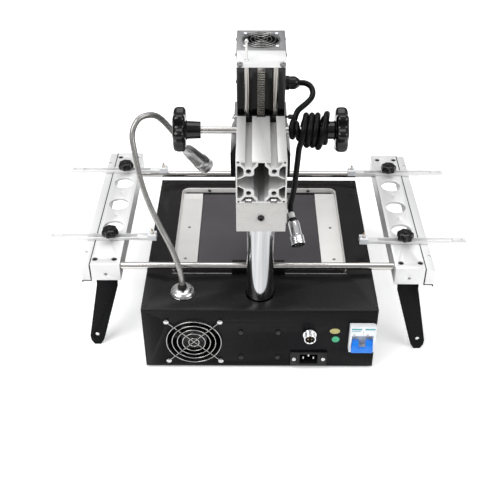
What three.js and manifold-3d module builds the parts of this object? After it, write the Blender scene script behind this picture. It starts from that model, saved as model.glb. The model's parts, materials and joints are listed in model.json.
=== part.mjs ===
// Infrared rework station: a low heated base, a column with a swinging arm, a rack-and-pinion head
// with a small infrared heater, two board rails on rods with four clamp bars, and a gooseneck lamp.
// Millimetres, +Z up. Pieces are laid out as seen from the rear: x to the right, y from the rear
// panel towards the operator. The outer group then turns the model so that its front faces -Y.
import * as THREE from "three";
import { mergeVertices } from "three/addons/utils/BufferGeometryUtils.js";
import Module from "manifold-3d";

const wasm = await Module();
wasm.setup();

// ---- driving dimensions ----
const GAP = 0.3;
const DEPTH_CENTRE = 189; // distance from the rear panel to the model's origin
const SHEET = 1.8;

const BASE_HALF = 156.7;
const BASE_BOTTOM = 3.5;
const DECK_TOP = 107.3;
const DECK_LENGTH = 316.3;
const FRONT = 390;
const PANEL_FOOT = 22;

const TRAY = { half: 121.7, near: 76.3, far: 295.7, corner: 12, floor: 92, sheet: 1.2 };
const PLATE = { half: 88, near: 103, far: 272.5, low: 93.5, high: 100 };

const POST = { x: 0.5, y: 34.4, r: 17.9, low: 12, high: 268 };
const BLOCK = { low: 232, high: 273.7, near: 3.5, far: 63 };
const ARM = { half: 30, near: 3, far: 112, low: 274, high: 332 };
const ARM_MID = (ARM.low + ARM.high) / 2;

const SHAFT = { y: 104, z: 316.5, r: 4.4 };
const GEAR = { module: 1, teeth: 16, addendum: 0.9, dedendum: 1.25 };
const PITCH_R = (GEAR.module * GEAR.teeth) / 2;
const BRIDGE = { near: 109.4, far: 110.6, half: 8, low: 276, high: 286 };
const SLIDE = { near: 121.5, far: 143.7, low: 284, high: 396.7, rib: 17.5, ribHalf: 3, ribOut: 4 };

const TOP_PLATE = { near: 112, far: 143.7, low: 397, high: 405.4 };
const HOUSING = { half: 31, near: 144, far: 208, low: 280.3, high: 405, sheet: 1.5 };
const HOOD = { half: 40, near: 136, far: 216, low: 228, high: 280, chamfer: 8, sheet: 1.6 };
const HEAD_FAN = { y: 176, size: 50, screw: 20, ring: 23.5 };

const REAR_FAN = { x: -88.7, z: 50.2, size: 80, screw: 35.75, ring: 38 };
const INLET = { x: 67.7, z: 19.8 };
const SOCKET = { x: 67.4, z: 64.6 };
const BREAKER = { left: 120.5, right: 155.4, low: 39.5, high: 84, out: 9 };

const ROD = { r: 5, z: 119, near: 78, far: 316, middle: -3, half: 233 };
const RAIL = { width: 40.3, length: 298, low: 101, high: 128, lip: 13, groove: 1.8 };
const CHANNEL = { top: 3.5, side: 3, ends: 25, hole: 14.7, holesAt: [89.5, 148, 207] };
const RAIL_X = { left: -211.8, right: 205.3 };
const RAIL_NEAR = { left: 68, right: 61 };
const CLAMP = { near: { left: 129, right: 121.5 }, far: { left: 308.5, right: 302 } };
const BAR = { width: 10, low: 128.3, high: 132.8, slot: 6.4 };
const BAR_INNER = { left: 146, right: 141 };
const BAR_OUTER = { left: 298, right: 291 };

const LAMP = { x: -103.6, y: 34.5, neck: 3.3 };
const CABLE = { r: 3.15 };

// ---- materials ----
const paint = (color, roughness, metalness) =>
  new THREE.MeshStandardMaterial({ color, roughness, metalness });
const BLACK_PAINT = paint(0x16171a, 0.42, 0.1);
const BLACK_PLASTIC = paint(0x101012, 0.3, 0);
const CHROME = paint(0xe0e2e4, 0.08, 1);
const ALUMINIUM = paint(0xd9dadb, 0.35, 0.9);
const BLOCK_GREY = paint(0xb9b8b5, 0.55, 0.8);
const STAINLESS = paint(0xc9c8c5, 0.25, 1);
const DARK_PLATE = paint(0x46444a, 0.7, 0);
const GREY_PAINT = paint(0x8f9092, 0.5, 0.2);
const WHITE_PLASTIC = paint(0xe8ecf0, 0.4, 0);
const BLUE_PLASTIC = paint(0x2a7fd0, 0.35, 0);
const SILVER_PANEL = paint(0xcfd0d1, 0.4, 0.6);
const GREEN_BOARD = paint(0x1f6a3a, 0.6, 0);
const RUBBER = paint(0x0c0c0d, 0.85, 0);
const CERAMIC = paint(0x55524f, 0.8, 0);

// ---- shape helpers ----
function solidOf(geometry) {
  const bare = geometry.clone();
  bare.deleteAttribute("normal");
  bare.deleteAttribute("uv");
  const merged = mergeVertices(bare, 1e-4);
  return new wasm.Manifold(
    new wasm.Mesh({
      numProp: 3,
      vertProperties: new Float32Array(merged.attributes.position.array),
      triVerts: new Uint32Array(merged.index.array),
    })
  );
}

function geometryOf(solid) {
  const mesh = solid.getMesh();
  const geometry = new THREE.BufferGeometry();
  geometry.setAttribute("position", new THREE.BufferAttribute(mesh.vertProperties, 3));
  geometry.setIndex(new THREE.BufferAttribute(mesh.triVerts, 1));
  return geometry;
}

function boxGeometry(x0, x1, y0, y1, z0, z1) {
  const geometry = new THREE.BoxGeometry(x1 - x0, y1 - y0, z1 - z0);
  return geometry.translate((x0 + x1) / 2, (y0 + y1) / 2, (z0 + z1) / 2);
}
const box = (...sides) => solidOf(boxGeometry(...sides));

// A cylinder or cone along x, y or z, from one place on that axis to another.
function rodGeometry(axis, [x, y, z], r0, from, to, r1 = r0, sides = 24) {
  const geometry = new THREE.CylinderGeometry(r1, r0, to - from, sides);
  geometry.translate(0, (from + to) / 2, 0);
  if (axis === "x") geometry.rotateZ(-Math.PI / 2).translate(0, y, z);
  if (axis === "y") geometry.translate(x, 0, z);
  if (axis === "z") geometry.rotateX(Math.PI / 2).translate(x, y, 0);
  return geometry;
}
const rod = (...args) => solidOf(rodGeometry(...args));

// A solid turned about x, y or z from [radius, distance along the axis] points.
function turned(axis, [x, y, z], profile, sides = 24) {
  const points = profile.map(([r, h]) => new THREE.Vector2(r, h));
  const geometry = new THREE.LatheGeometry(points, sides);
  if (axis === "x") geometry.rotateZ(-Math.PI / 2);
  if (axis === "z") geometry.rotateX(Math.PI / 2);
  return solidOf(geometry.translate(x, y, z));
}

function outlineOf(points) {
  return new THREE.Shape(points.map(([a, b]) => new THREE.Vector2(a, b)));
}

// An outline in (x, y), raised from z0 to z1.
function raised(shape, z0, z1, curveSegments = 6) {
  const settings = { depth: z1 - z0, bevelEnabled: false, curveSegments };
  return solidOf(new THREE.ExtrudeGeometry(shape, settings).translate(0, 0, z0));
}

// An outline in (x, z), drawn out along y from y0 to y1.
function drawn(shape, y0, y1, curveSegments = 6) {
  const settings = { depth: y1 - y0, bevelEnabled: false, curveSegments };
  const geometry = new THREE.ExtrudeGeometry(shape, settings);
  return solidOf(geometry.rotateX(Math.PI / 2).translate(0, y1, 0));
}

// An outline in (y, z), drawn across x from x0 to x1.
function across(points, x0, x1) {
  const settings = { depth: x1 - x0, bevelEnabled: false };
  const geometry = new THREE.ExtrudeGeometry(outlineOf(points), settings);
  const turn = new THREE.Matrix4().makeBasis(
    new THREE.Vector3(0, 1, 0),
    new THREE.Vector3(0, 0, 1),
    new THREE.Vector3(1, 0, 0)
  );
  return solidOf(geometry.applyMatrix4(turn).translate(x0, 0, 0));
}

function roundedRectangle(x0, x1, y0, y1, r) {
  const shape = new THREE.Shape();
  shape.moveTo(x0 + r, y0);
  shape.lineTo(x1 - r, y0);
  shape.absarc(x1 - r, y0 + r, r, -Math.PI / 2, 0);
  shape.lineTo(x1, y1 - r);
  shape.absarc(x1 - r, y1 - r, r, 0, Math.PI / 2);
  shape.lineTo(x0 + r, y1);
  shape.absarc(x0 + r, y1 - r, r, Math.PI / 2, Math.PI);
  shape.lineTo(x0, y0 + r);
  shape.absarc(x0 + r, y0 + r, r, Math.PI, 1.5 * Math.PI);
  return shape;
}

function circlePath(x, y, r) {
  const path = new THREE.Path();
  path.absarc(x, y, r, 0, 2 * Math.PI, true);
  return path;
}

// A round tube of radius r through hand-placed points.
function tube(points, r, steps, sides = 8) {
  const ring = new THREE.Shape();
  for (let i = 0; i < sides; i += 1) {
    const angle = (2 * Math.PI * i) / sides;
    const method = i === 0 ? "moveTo" : "lineTo";
    ring[method](r * Math.cos(angle), r * Math.sin(angle));
  }
  const curve = new THREE.CatmullRomCurve3(points.map((p) => new THREE.Vector3(...p)));
  return solidOf(new THREE.ExtrudeGeometry(ring, { steps, extrudePath: curve, bevelEnabled: false }));
}

const model = new THREE.Group();
model.rotation.z = Math.PI;
model.position.y = DEPTH_CENTRE;

function place(name, solid, material, parent = model) {
  const mesh = new THREE.Mesh(geometryOf(solid), material);
  mesh.name = name;
  parent.add(mesh);
  return mesh;
}

const slopeAngle = Math.atan2(DECK_TOP - PANEL_FOOT, FRONT - DECK_LENGTH);
const BUTTON = { x: -76, y: 54, r: 5.6 };

const corners = (d) => [[-d, -d], [d, -d], [d, d], [-d, d]];

// ---- base case ----
function baseTray() {
  const half = BASE_HALF - SHEET - 2 * GAP;
  const floor = box(-half, half, 2.2, FRONT - 3, BASE_BOTTOM, BASE_BOTTOM + SHEET);
  const lipTop = BASE_BOTTOM + 14;
  const left = box(-half, -half + SHEET, 4, FRONT - 6, BASE_BOTTOM, lipTop);
  const right = box(half - SHEET, half, 4, FRONT - 6, BASE_BOTTOM, lipTop);
  return floor.add(left).add(right);
}

function deckCover() {
  const side = [
    [0, BASE_BOTTOM],
    [FRONT, BASE_BOTTOM],
    [FRONT, PANEL_FOOT],
    [DECK_LENGTH, DECK_TOP],
    [0, DECK_TOP],
  ];
  const left = across(side, -BASE_HALF, -BASE_HALF + SHEET);
  const right = across(side, BASE_HALF - SHEET, BASE_HALF);
  const deck = box(-BASE_HALF, BASE_HALF, 0, DECK_LENGTH, DECK_TOP - SHEET, DECK_TOP);
  const mouth = roundedRectangle(-TRAY.half - GAP, TRAY.half + GAP, TRAY.near - GAP, TRAY.far + GAP, 12);
  return deck
    .add(left)
    .add(right)
    .subtract(raised(mouth, DECK_TOP - 5, DECK_TOP + 5))
    .subtract(rod("z", [POST.x, POST.y, 0], POST.r + 1.6, DECK_TOP - 5, DECK_TOP + 5, POST.r + 1.6, 32));
}

function rearPanel() {
  const half = BASE_HALF - SHEET - GAP;
  const shape = outlineOf([
    [-half, BASE_BOTTOM + GAP],
    [half, BASE_BOTTOM + GAP],
    [half, DECK_TOP - SHEET - GAP],
    [-half, DECK_TOP - SHEET - GAP],
  ]);
  shape.holes.push(circlePath(REAR_FAN.x, REAR_FAN.z, 37));
  for (const [dx, dz] of corners(REAR_FAN.screw)) {
    shape.holes.push(circlePath(REAR_FAN.x + dx, REAR_FAN.z + dz, 2.3));
  }
  shape.holes.push(circlePath(SOCKET.x, SOCKET.z, 8.3));
  const plate = drawn(shape, 0, 1.6, 12);
  const inletHole = box(INLET.x - 14.3, INLET.x + 14.3, -2, 4, INLET.z - 11, INLET.z + 11);
  const breakerHole = box(
    BREAKER.left - GAP, Math.min(BREAKER.right, half) + 5, -2, 4, BREAKER.low - GAP, BREAKER.high + GAP
  );
  return plate.subtract(inletHole).subtract(breakerHole);
}

function controlPanel() {
  const half = BASE_HALF - SHEET - GAP;
  const outline = [
    [DECK_LENGTH + GAP, DECK_TOP - 0.4],
    [DECK_LENGTH + GAP, DECK_TOP - 3.4],
    [FRONT - 2, PANEL_FOOT - 0.8],
    [FRONT - 2, BASE_BOTTOM + 0.5],
    [FRONT, BASE_BOTTOM + 0.5],
    [FRONT, PANEL_FOOT],
  ];
  const hole = rod("z", [BUTTON.x, BUTTON.y, 0], BUTTON.r + GAP, -8, 4, BUTTON.r + GAP, 20)
    .rotate([(-slopeAngle * 180) / Math.PI, 0, 0])
    .translate([0, DECK_LENGTH, DECK_TOP]);
  return across(outline.reverse(), -half, half).subtract(hole);
}

place("base_tray", baseTray(), BLACK_PAINT);
place("deck_cover", deckCover(), BLACK_PAINT);
place("rear_panel", rearPanel(), BLACK_PAINT);
place("control_panel", controlPanel(), SILVER_PANEL);

for (const [side, x] of [["left", 132], ["right", -132]]) {
  for (const [end, y] of [["rear", 26], ["front", 352]]) {
    const foot = rod("z", [x, y, 0], 8, 0, BASE_BOTTOM - GAP, 9);
    place(`foot_${end}_${side}`, foot, RUBBER);
  }
}

// ---- instruments on the sloping front panel ----
const panel = new THREE.Group();
panel.position.set(0, DECK_LENGTH, DECK_TOP);
panel.rotation.x = -slopeAngle;
model.add(panel);
// In the panel group, y runs down the slope and z stands out of it.
const bezel = box(-28, 88, 30, 78, 0.5, 8);
const screens = [58, 2].map((x) => box(x - 20, x + 20, 36, 60, 6.6, 10));
place("temperature_controller", bezel.subtract(screens[0]).subtract(screens[1]), BLACK_PLASTIC, panel);
const buttonProfile = [[0, -6], [BUTTON.r, -6], [BUTTON.r, 4], [7, 4.6], [7, 7], [5.8, 8.2], [0, 8.2]];
place("start_button", turned("z", [BUTTON.x, BUTTON.y, 0], buttonProfile, 20), BLUE_PLASTIC, panel);
const sockets = box(50, 110, 84, 100, 0.5, 4)
  .subtract(box(56, 74, 88, 96, 1.6, 6))
  .subtract(box(86, 104, 88, 96, 1.6, 6));
place("probe_sockets", sockets, paint(0xd8b02a, 0.5, 0), panel);

// ---- bottom heater ----
function heaterTray() {
  const outer = roundedRectangle(-TRAY.half, TRAY.half, TRAY.near, TRAY.far, TRAY.corner);
  const inset = TRAY.sheet;
  const inner = roundedRectangle(
    -TRAY.half + inset, TRAY.half - inset, TRAY.near + inset, TRAY.far - inset, TRAY.corner - inset
  );
  const flange = roundedRectangle(-TRAY.half - 8, TRAY.half + 8, TRAY.near - 8, TRAY.far + 5, 12);
  const top = DECK_TOP - SHEET - GAP;
  const shelf = (x0, x1) => box(x0, x1, 100, PLATE.far - 1, TRAY.floor + 0.4, 101);
  return raised(outer, TRAY.floor, top)
    .add(raised(flange, top - 1.2, top))
    .subtract(raised(inner, TRAY.floor + inset, top + 5))
    .add(shelf(-TRAY.half + 0.5, -PLATE.half - 0.5))
    .add(shelf(PLATE.half + 0.5, TRAY.half - 0.5));
}
place("heater_tray", heaterTray(), STAINLESS);

const heaterPlate = box(-PLATE.half, PLATE.half, PLATE.near, PLATE.far, PLATE.low, PLATE.high);
place("heater_panel", heaterPlate, DARK_PLATE);

// ---- inside the base ----
const bore = (r, low, high) => rod("z", [POST.x, POST.y, 0], r, low, high, r, 32);
const columnSocket = box(-30, 31, 2, 60, 6, 92).subtract(bore(POST.r + GAP, POST.low - GAP, 100));
place("column_socket", columnSocket, BLOCK_GREY);
place("column_post", bore(POST.r, POST.low, POST.high), CHROME);
const board = box(40, 116, 120, 230, 12, 13.6)
  .add(box(46, 76, 130, 172, 13, 42))
  .add(box(84, 110, 132, 152, 13, 30))
  .add(box(84, 110, 176, 220, 13, 36))
  .add(box(48, 54, 212, 218, 5.6, 13))
  .add(box(100, 106, 122, 128, 5.6, 13));
place("control_board", board, GREEN_BOARD);

// ---- rear fan ----
function fanFrame(fan, depth, mouth) {
  const half = fan.size / 2;
  const square = roundedRectangle(-half, half, -half, half, 4);
  square.holes.push(circlePath(0, 0, mouth));
  let frame = raised(square, 0, depth, 10);
  frame = frame.add(rod("z", [0, 0, 0], half * 0.4, depth - 3, depth));
  for (let i = 0; i < 3; i += 1) {
    const arm = box(0, mouth + 2, -1.5, 1.5, depth - 2.5, depth);
    frame = frame.add(arm.rotate([0, 0, 120 * i + 30]));
  }
  return frame;
}

// Wire rings, a cross and four screw posts, standing from z = -reach to the fan's face at z = 0.
function fanGuard(fan, rings, reach) {
  let guard = null;
  for (const r of rings) {
    const ring = new THREE.TorusGeometry(r, 0.85, 4, 20).translate(0, 0, -reach);
    guard = guard ? guard.add(solidOf(ring)) : solidOf(ring);
  }
  for (const angle of [45, -45]) {
    const reachOut = fan.screw * Math.SQRT2;
    guard = guard.add(box(-reachOut, reachOut, -0.8, 0.8, -reach - 0.7, -reach + 0.7).rotate([0, 0, angle]));
  }
  for (const [dx, dy] of corners(fan.screw)) {
    guard = guard.add(rod("z", [dx, dy, 0], 1.9, -reach - 1.2, 0.5, 1.9, 12));
  }
  return guard;
}

function fanRotor(fan, depth, mouth) {
  const hub = fan.size * 0.22;
  let rotor = rod("z", [0, 0, 0], hub, 1, depth - 3.4);
  for (let i = 0; i < 7; i += 1) {
    const blade = box(hub - 1, mouth - 1, -0.7, 0.7, -(depth - 6) / 2, (depth - 6) / 2);
    const pitched = blade.rotate([38, 0, 0]).translate([0, 0, (depth - 2.4) / 2]);
    rotor = rotor.add(pitched.rotate([0, 0, (360 / 7) * i]));
  }
  return rotor;
}

const rearFanSpot = { turn: [-90, 0, 0], at: [REAR_FAN.x, 2.2, REAR_FAN.z] };
// After this turn the fan's local +z points to +y, into the case.
const rearFan = fanFrame(REAR_FAN, 25, 37.5).add(fanGuard(REAR_FAN, [38, 23, 8], 4.4));
place("rear_fan_frame", rearFan.rotate(rearFanSpot.turn).translate(rearFanSpot.at), BLACK_PLASTIC);
const rearRotor = fanRotor(REAR_FAN, 25, 36.5).rotate(rearFanSpot.turn).translate(rearFanSpot.at);
place("rear_fan_rotor", rearRotor, BLACK_PLASTIC);

// ---- sockets, breaker ----
const inlet = box(INLET.x - 25, INLET.x + 25, -3, -GAP, INLET.z - 12.5, INLET.z + 12.5)
  .add(box(INLET.x - 14, INLET.x + 14, -1, 24, INLET.z - 10.7, INLET.z + 10.7))
  .subtract(box(INLET.x - 12.2, INLET.x + 12.2, -5, 13, INLET.z - 8.6, INLET.z + 8.6));
place("power_inlet", inlet, BLACK_PLASTIC);

const socketProfile = [
  [0, 1], [6.3, 1], [6.3, -12], [8, -12], [8, -4.5], [10.6, -4.5], [10.6, -GAP], [8, -GAP], [8, 14], [0, 14],
];
place("cable_socket", turned("y", [SOCKET.x, 0, SOCKET.z], socketProfile), CHROME);

function breakerBody() {
  const middle = (BREAKER.low + BREAKER.high) / 2;
  const well = box(BREAKER.left + 3, BREAKER.right - 3, -20, 0, middle - 16, middle + 7);
  const body = box(BREAKER.left, BREAKER.right - 2.6, -BREAKER.out + 3, 48, BREAKER.low, BREAKER.high);
  const nose = box(BREAKER.left, BREAKER.right, -BREAKER.out, -GAP, BREAKER.low, BREAKER.high);
  const noseBack = box(BREAKER.right - 2.6, BREAKER.right + 1, -1, 50, BREAKER.low - 1, BREAKER.high + 1);
  return body.add(nose).subtract(noseBack).subtract(well);
}
place("breaker_body", breakerBody(), WHITE_PLASTIC);

// Two levers on one pivot, tied together below.
const TOGGLE = { y: -4.5, z: 57.2, wide: 9.4 };
const toggleX = [BREAKER.left + 4, BREAKER.right - 4];
const lever = [
  [-9.5, 46], [-9.4, 41.4], [-11.6, 41], [-12, 42.4], [-12, 46], [-10.6, 55.4], [-6, 59.6], [-3, 55],
].reverse();
const tie = [[-9.5, 49.6], [-9.4, 41.4], [-11.6, 41], [-12, 42.4], [-12, 46], [-11.5, 49.6]].reverse();
const toggle = rod("x", [0, TOGGLE.y, TOGGLE.z], 3.4, ...toggleX, 3.4, 16)
  .add(across(lever, toggleX[0], toggleX[0] + TOGGLE.wide))
  .add(across(lever, toggleX[1] - TOGGLE.wide, toggleX[1]))
  .add(across(tie, ...toggleX));
place("breaker_toggle", toggle, BLUE_PLASTIC);

// ---- lamp ----
const flangeProfile = [
  [0, 107.6], [17, 107.6], [17, 109.4], [14.5, 112.4], [8.5, 115], [6, 119], [4.8, 121], [0, 121],
];
place("lamp_flange", turned("z", [LAMP.x, LAMP.y, 0], flangeProfile, 28), CHROME);

const NECK_PATH = [
  [-103.6, 34.5, 121.4],
  [-104.2, 35, 134],
  [-108, 39, 152],
  [-117, 46, 177],
  [-131, 56, 204],
  [-144, 66, 234],
  [-153, 76, 264],
  [-158.5, 87, 293],
  [-161, 98, 314],
  [-154, 108, 328],
  [-143, 117, 330],
  [-131, 128, 322],
  [-117, 141, 297],
  [-103.6, 151, 266],
];
const LAMP_TIP = [-74, 171, 222];
place("lamp_neck", tube(NECK_PATH, LAMP.neck, 36), CHROME);

function lampHead() {
  const start = new THREE.Vector3(...NECK_PATH.at(-1));
  const axis = new THREE.Vector3(...LAMP_TIP).sub(start);
  const length = axis.length();
  const profile = [
    [0, 0.9], [4, 0.9], [4.6, 5], [7.6, 10], [10.4, length - 17],
    [11.2, length - 16], [11.2, length], [9.4, length], [9.4, length - 4], [0, length - 4],
  ];
  const points = profile.map(([r, h]) => new THREE.Vector2(r, h));
  const geometry = new THREE.LatheGeometry(points, 24);
  const aim = new THREE.Quaternion().setFromUnitVectors(new THREE.Vector3(0, 1, 0), axis.normalize());
  return solidOf(geometry.applyQuaternion(aim).translate(start.x, start.y, start.z));
}
place("lamp_head", lampHead(), ALUMINIUM);

// ---- column block and arm ----
const X = POST.x;
const block = box(X - ARM.half, X + ARM.half, BLOCK.near, BLOCK.far, BLOCK.low, BLOCK.high)
  .subtract(rod("z", [POST.x, POST.y, 0], POST.r + GAP, BLOCK.low - 1, POST.high + GAP, POST.r + GAP, 32))
  .subtract(rod("y", [X, 0, (BLOCK.low + BLOCK.high) / 2 - 1], 4.2, BLOCK.near - 1, 12, 4.2, 16));
place("column_block", block, BLOCK_GREY);

function armProfile() {
  const slot = (x) => [
    [x - 4, 30], [x - 4, 28], [x - 9, 28], [x - 9, 26.4], [x - 4.2, 21],
    [x + 4.2, 21], [x + 9, 26.4], [x + 9, 28], [x + 4, 28], [x + 4, 30],
  ];
  const half = (ARM.high - ARM.low) / 2;
  const squash = (points) => points.map(([x, z]) => [X + x, ARM_MID + (z * half) / ARM.half]);
  const hole = (points) => new THREE.Path(squash(points).map(([a, b]) => new THREE.Vector2(a, b)));
  const top = [...slot(-15), ...slot(15)];
  const bottom = top.map(([x, z]) => [-x, -z]);
  const rim = [[-30, 30], ...top, [30, 30], [30, -30], ...bottom, [-30, -30]];
  const outline = outlineOf(squash(rim).reverse());
  // The middle cavity, one quarter mirrored to the other three, and a small cavity in each side wall.
  const quarter = [
    [4, 27.5], [4, 23.4], [8.5, 18.9], [8.5, 11.5], [11, 8.9], [18.7, 8.9], [25.3, 5], [28.3, 5],
  ];
  const mirrored = (points, sx, sz) => points.map(([x, z]) => [sx * x, sz * z]);
  const backwards = [...quarter].reverse();
  outline.holes.push(hole([
    ...quarter, ...mirrored(backwards, 1, -1), ...mirrored(quarter, -1, -1), ...mirrored(backwards, -1, 1),
  ]));
  const sideCavity = [
    [28.3, 22.8], [24.6, 22.8], [21.5, 19.4], [20.6, 16.5], [20.6, 13], [20.8, 9.6], [26.5, 6.1], [28.3, 6.1],
  ];
  for (const [sx, sz] of corners(1)) outline.holes.push(hole(mirrored(sideCavity, sx, sz)));
  for (const [dx, dz] of corners(15)) outline.holes.push(circlePath(X + dx, ARM_MID + dz, 3.3));
  for (const [dx, dz] of corners(27)) outline.holes.push(circlePath(X + dx, ARM_MID + dz, 1.6));
  const pinionRoom = rod("x", [0, SHAFT.y, SHAFT.z], PITCH_R + 2, X - 6, X + 6);
  const rackRoom = box(X - 5.4, X + 5.4, SHAFT.y + 5, ARM.far + 1, ARM.low - 1, ARM.high + 1);
  const bridgeHalf = BRIDGE.half + GAP;
  const bridgeRoom = box(
    X - bridgeHalf, X + bridgeHalf, BRIDGE.near - GAP, ARM.far + 1, ARM.low - 1, BRIDGE.high + GAP
  );
  return drawn(outline, ARM.near, ARM.far, 4)
    .subtract(pinionRoom)
    .subtract(rackRoom)
    .subtract(bridgeRoom)
    .subtract(rod("x", [0, SHAFT.y, SHAFT.z], SHAFT.r + GAP, -50, 50));
}
place("arm_profile", armProfile(), ALUMINIUM);

function slideBearing() {
  let bearing = box(X - 29.5, X + 29.5, ARM.far + GAP, SLIDE.near - GAP, ARM.low + 2, ARM.high - 2);
  bearing = bearing.subtract(box(X - 5.4, X + 5.4, 100, 130, ARM.low, ARM.high));
  for (const side of [-1, 1]) {
    const middle = X + side * SLIDE.rib;
    const near = SLIDE.near - SLIDE.ribOut - GAP;
    const width = SLIDE.ribHalf + GAP;
    bearing = bearing.subtract(box(middle - width, middle + width, near, 130, ARM.low, ARM.high));
  }
  // A bridge passes behind the rack's teeth and keeps the bearing one piece.
  const { near, far, half, low, high } = BRIDGE;
  bearing = bearing.add(box(X - half, X + half, near, far, low, high));
  for (const x of [X - half, X + half - 2]) {
    bearing = bearing.add(box(x, x + 2, near, SLIDE.near - 2, low, high));
  }
  return bearing;
}
place("slide_bearing", slideBearing(), BLACK_PAINT);

// ---- drive: pinion shaft and two lobed handwheels ----
function pinionShaft() {
  const points = [];
  const toothAngle = (2 * Math.PI) / GEAR.teeth;
  const root = PITCH_R - GEAR.dedendum;
  const tip = PITCH_R + GEAR.addendum;
  for (let i = 0; i < GEAR.teeth; i += 1) {
    const middle = toothAngle * (i + 0.5);
    for (const [r, halfWidth] of [[root, -0.95], [tip, -0.32], [tip, 0.32], [root, 0.95]]) {
      const angle = middle + halfWidth / r;
      points.push([r * Math.cos(angle), SHAFT.z + r * Math.sin(angle)]);
    }
  }
  const gear = across(points.map(([y, z]) => [SHAFT.y + y, z]), X - 4, X + 4);
  return gear.add(rod("x", [0, SHAFT.y, SHAFT.z], SHAFT.r, -100, 101));
}
place("pinion_shaft", pinionShaft(), STAINLESS);

function handwheel(side) {
  // side is -1 on the left of the rear view and 1 on the right.
  const hubStart = 75;
  const wheelStart = 93.5;
  const wheelEnd = 109;
  const lobes = new THREE.Shape();
  const steps = 56;
  for (let i = 0; i < steps; i += 1) {
    const angle = (2 * Math.PI * i) / steps;
    const r = 26.2 + 2.6 * Math.cos(7 * angle);
    lobes[i === 0 ? "moveTo" : "lineTo"](r * Math.cos(angle), r * Math.sin(angle));
  }
  const disc = raised(lobes, wheelStart, wheelEnd);
  const hub = rod("z", [0, 0, 0], 10.6, hubStart, wheelStart + 1, 11.5);
  const dish = rod("z", [0, 0, 0], 15, wheelEnd - 4, wheelEnd + 1, 17);
  const bored = disc.add(hub).subtract(dish).subtract(rod("z", [0, 0, 0], SHAFT.r + GAP, 60, 104));
  const turn = [0, side * 90, 0];
  return bored.rotate(turn).translate([0, SHAFT.y, SHAFT.z]);
}
place("handwheel_left", handwheel(1), BLACK_PLASTIC);
place("handwheel_right", handwheel(-1), BLACK_PLASTIC);

// ---- lifting head ----
function slideBody() {
  let body = box(X - 30, X + 30, SLIDE.near, SLIDE.far, SLIDE.low, SLIDE.high);
  for (const side of [-1, 1]) {
    const middle = X + side * SLIDE.rib;
    const near = SLIDE.near - SLIDE.ribOut;
    body = body.add(
      box(middle - SLIDE.ribHalf, middle + SLIDE.ribHalf, near, SLIDE.near + 1, SLIDE.low, SLIDE.high)
    );
  }
  return body;
}
place("slide_body", slideBody(), BLACK_PAINT);

function rack() {
  const pitchLine = SHAFT.y + PITCH_R;
  const tip = pitchLine - GEAR.addendum;
  const root = pitchLine + GEAR.dedendum;
  const pitch = Math.PI * GEAR.module;
  const outline = [[SLIDE.near - GAP, SLIDE.low + 0.5]];
  const first = Math.ceil((SLIDE.low + 2 - SHAFT.z) / pitch);
  const last = Math.floor((SLIDE.high - 2 - SHAFT.z) / pitch);
  outline.push([root, SLIDE.low + 0.5]);
  for (let i = first; i <= last; i += 1) {
    const z = SHAFT.z + i * pitch;
    outline.push([root, z - 0.95], [tip, z - 0.3], [tip, z + 0.3], [root, z + 0.95]);
  }
  outline.push([root, SLIDE.high - GAP], [SLIDE.near - GAP, SLIDE.high - GAP]);
  return across(outline.reverse(), X - 4.5, X + 4.5);
}
place("rack", rack(), STAINLESS);

const PIN = { x: X - 18, y: 114.2, z: 430 };
const ballRod = rod("z", [PIN.x, PIN.y, 0], 1.4, TOP_PLATE.high - 1, PIN.z, 1.4, 12).add(
  solidOf(new THREE.SphereGeometry(2.6, 12, 8).rotateX(Math.PI / 2).translate(PIN.x, PIN.y, PIN.z))
);
const topPlate = box(X - 30, X + 30, TOP_PLATE.near, TOP_PLATE.far, TOP_PLATE.low, TOP_PLATE.high);
place("top_plate", topPlate.add(ballRod), ALUMINIUM);

function headHousing() {
  const { half, near, far, low, high, sheet } = HOUSING;
  const shroudTop = 303;
  const outer = box(X - half, X + half, near, far, low, high);
  const shroud = box(X - 35, X + 35, near, far, low, shroudTop);
  const inner = box(X - half + sheet, X + half - sheet, near + sheet, far - sheet, low - 1, high - sheet);
  let housing = outer.add(shroud).subtract(inner);
  housing = housing.subtract(rod("z", [X, HEAD_FAN.y, 0], 22.8, high - 5, high + 5, 22.8, 32));
  for (const [dx, dy] of corners(HEAD_FAN.screw)) {
    housing = housing.subtract(rod("z", [X + dx, HEAD_FAN.y + dy, 0], 2.3, high - 5, high + 5, 2.3, 12));
  }
  return housing;
}
place("head_housing", headHousing(), GREY_PAINT);

// The small fan hangs under the housing's top, with its guard above it.
const headFanSpot = { turn: [180, 0, 0], at: [X, HEAD_FAN.y, HOUSING.high - HOUSING.sheet - GAP] };
const headFan = fanFrame(HEAD_FAN, 12, 23).add(fanGuard(HEAD_FAN, [23.5, 13.5], 3.2));
place("head_fan_frame", headFan.rotate(headFanSpot.turn).translate(headFanSpot.at), BLACK_PLASTIC);
const headRotor = fanRotor(HEAD_FAN, 12, 22.2).rotate(headFanSpot.turn).translate(headFanSpot.at);
place("head_fan_rotor", headRotor, BLACK_PLASTIC);

function heaterHood() {
  const { half, near, far, low, high, chamfer, sheet } = HOOD;
  const cut = 17;
  const outline = (inset, bottom) => outlineOf([
    [X - half + inset, bottom],
    [X + half - inset, bottom],
    [X + half - inset, high - cut],
    [X + half - chamfer - inset, high - inset],
    [X - half + chamfer + inset, high - inset],
    [X - half + inset, high - cut],
  ]);
  const vent = rod("z", [X, (near + far) / 2, 0], 24, high - 5, high + 5);
  return drawn(outline(0, low), near, far)
    .subtract(drawn(outline(sheet, low - 1), near + sheet, far - sheet))
    .subtract(vent);
}
place("heater_hood", heaterHood(), BLACK_PAINT);

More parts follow.
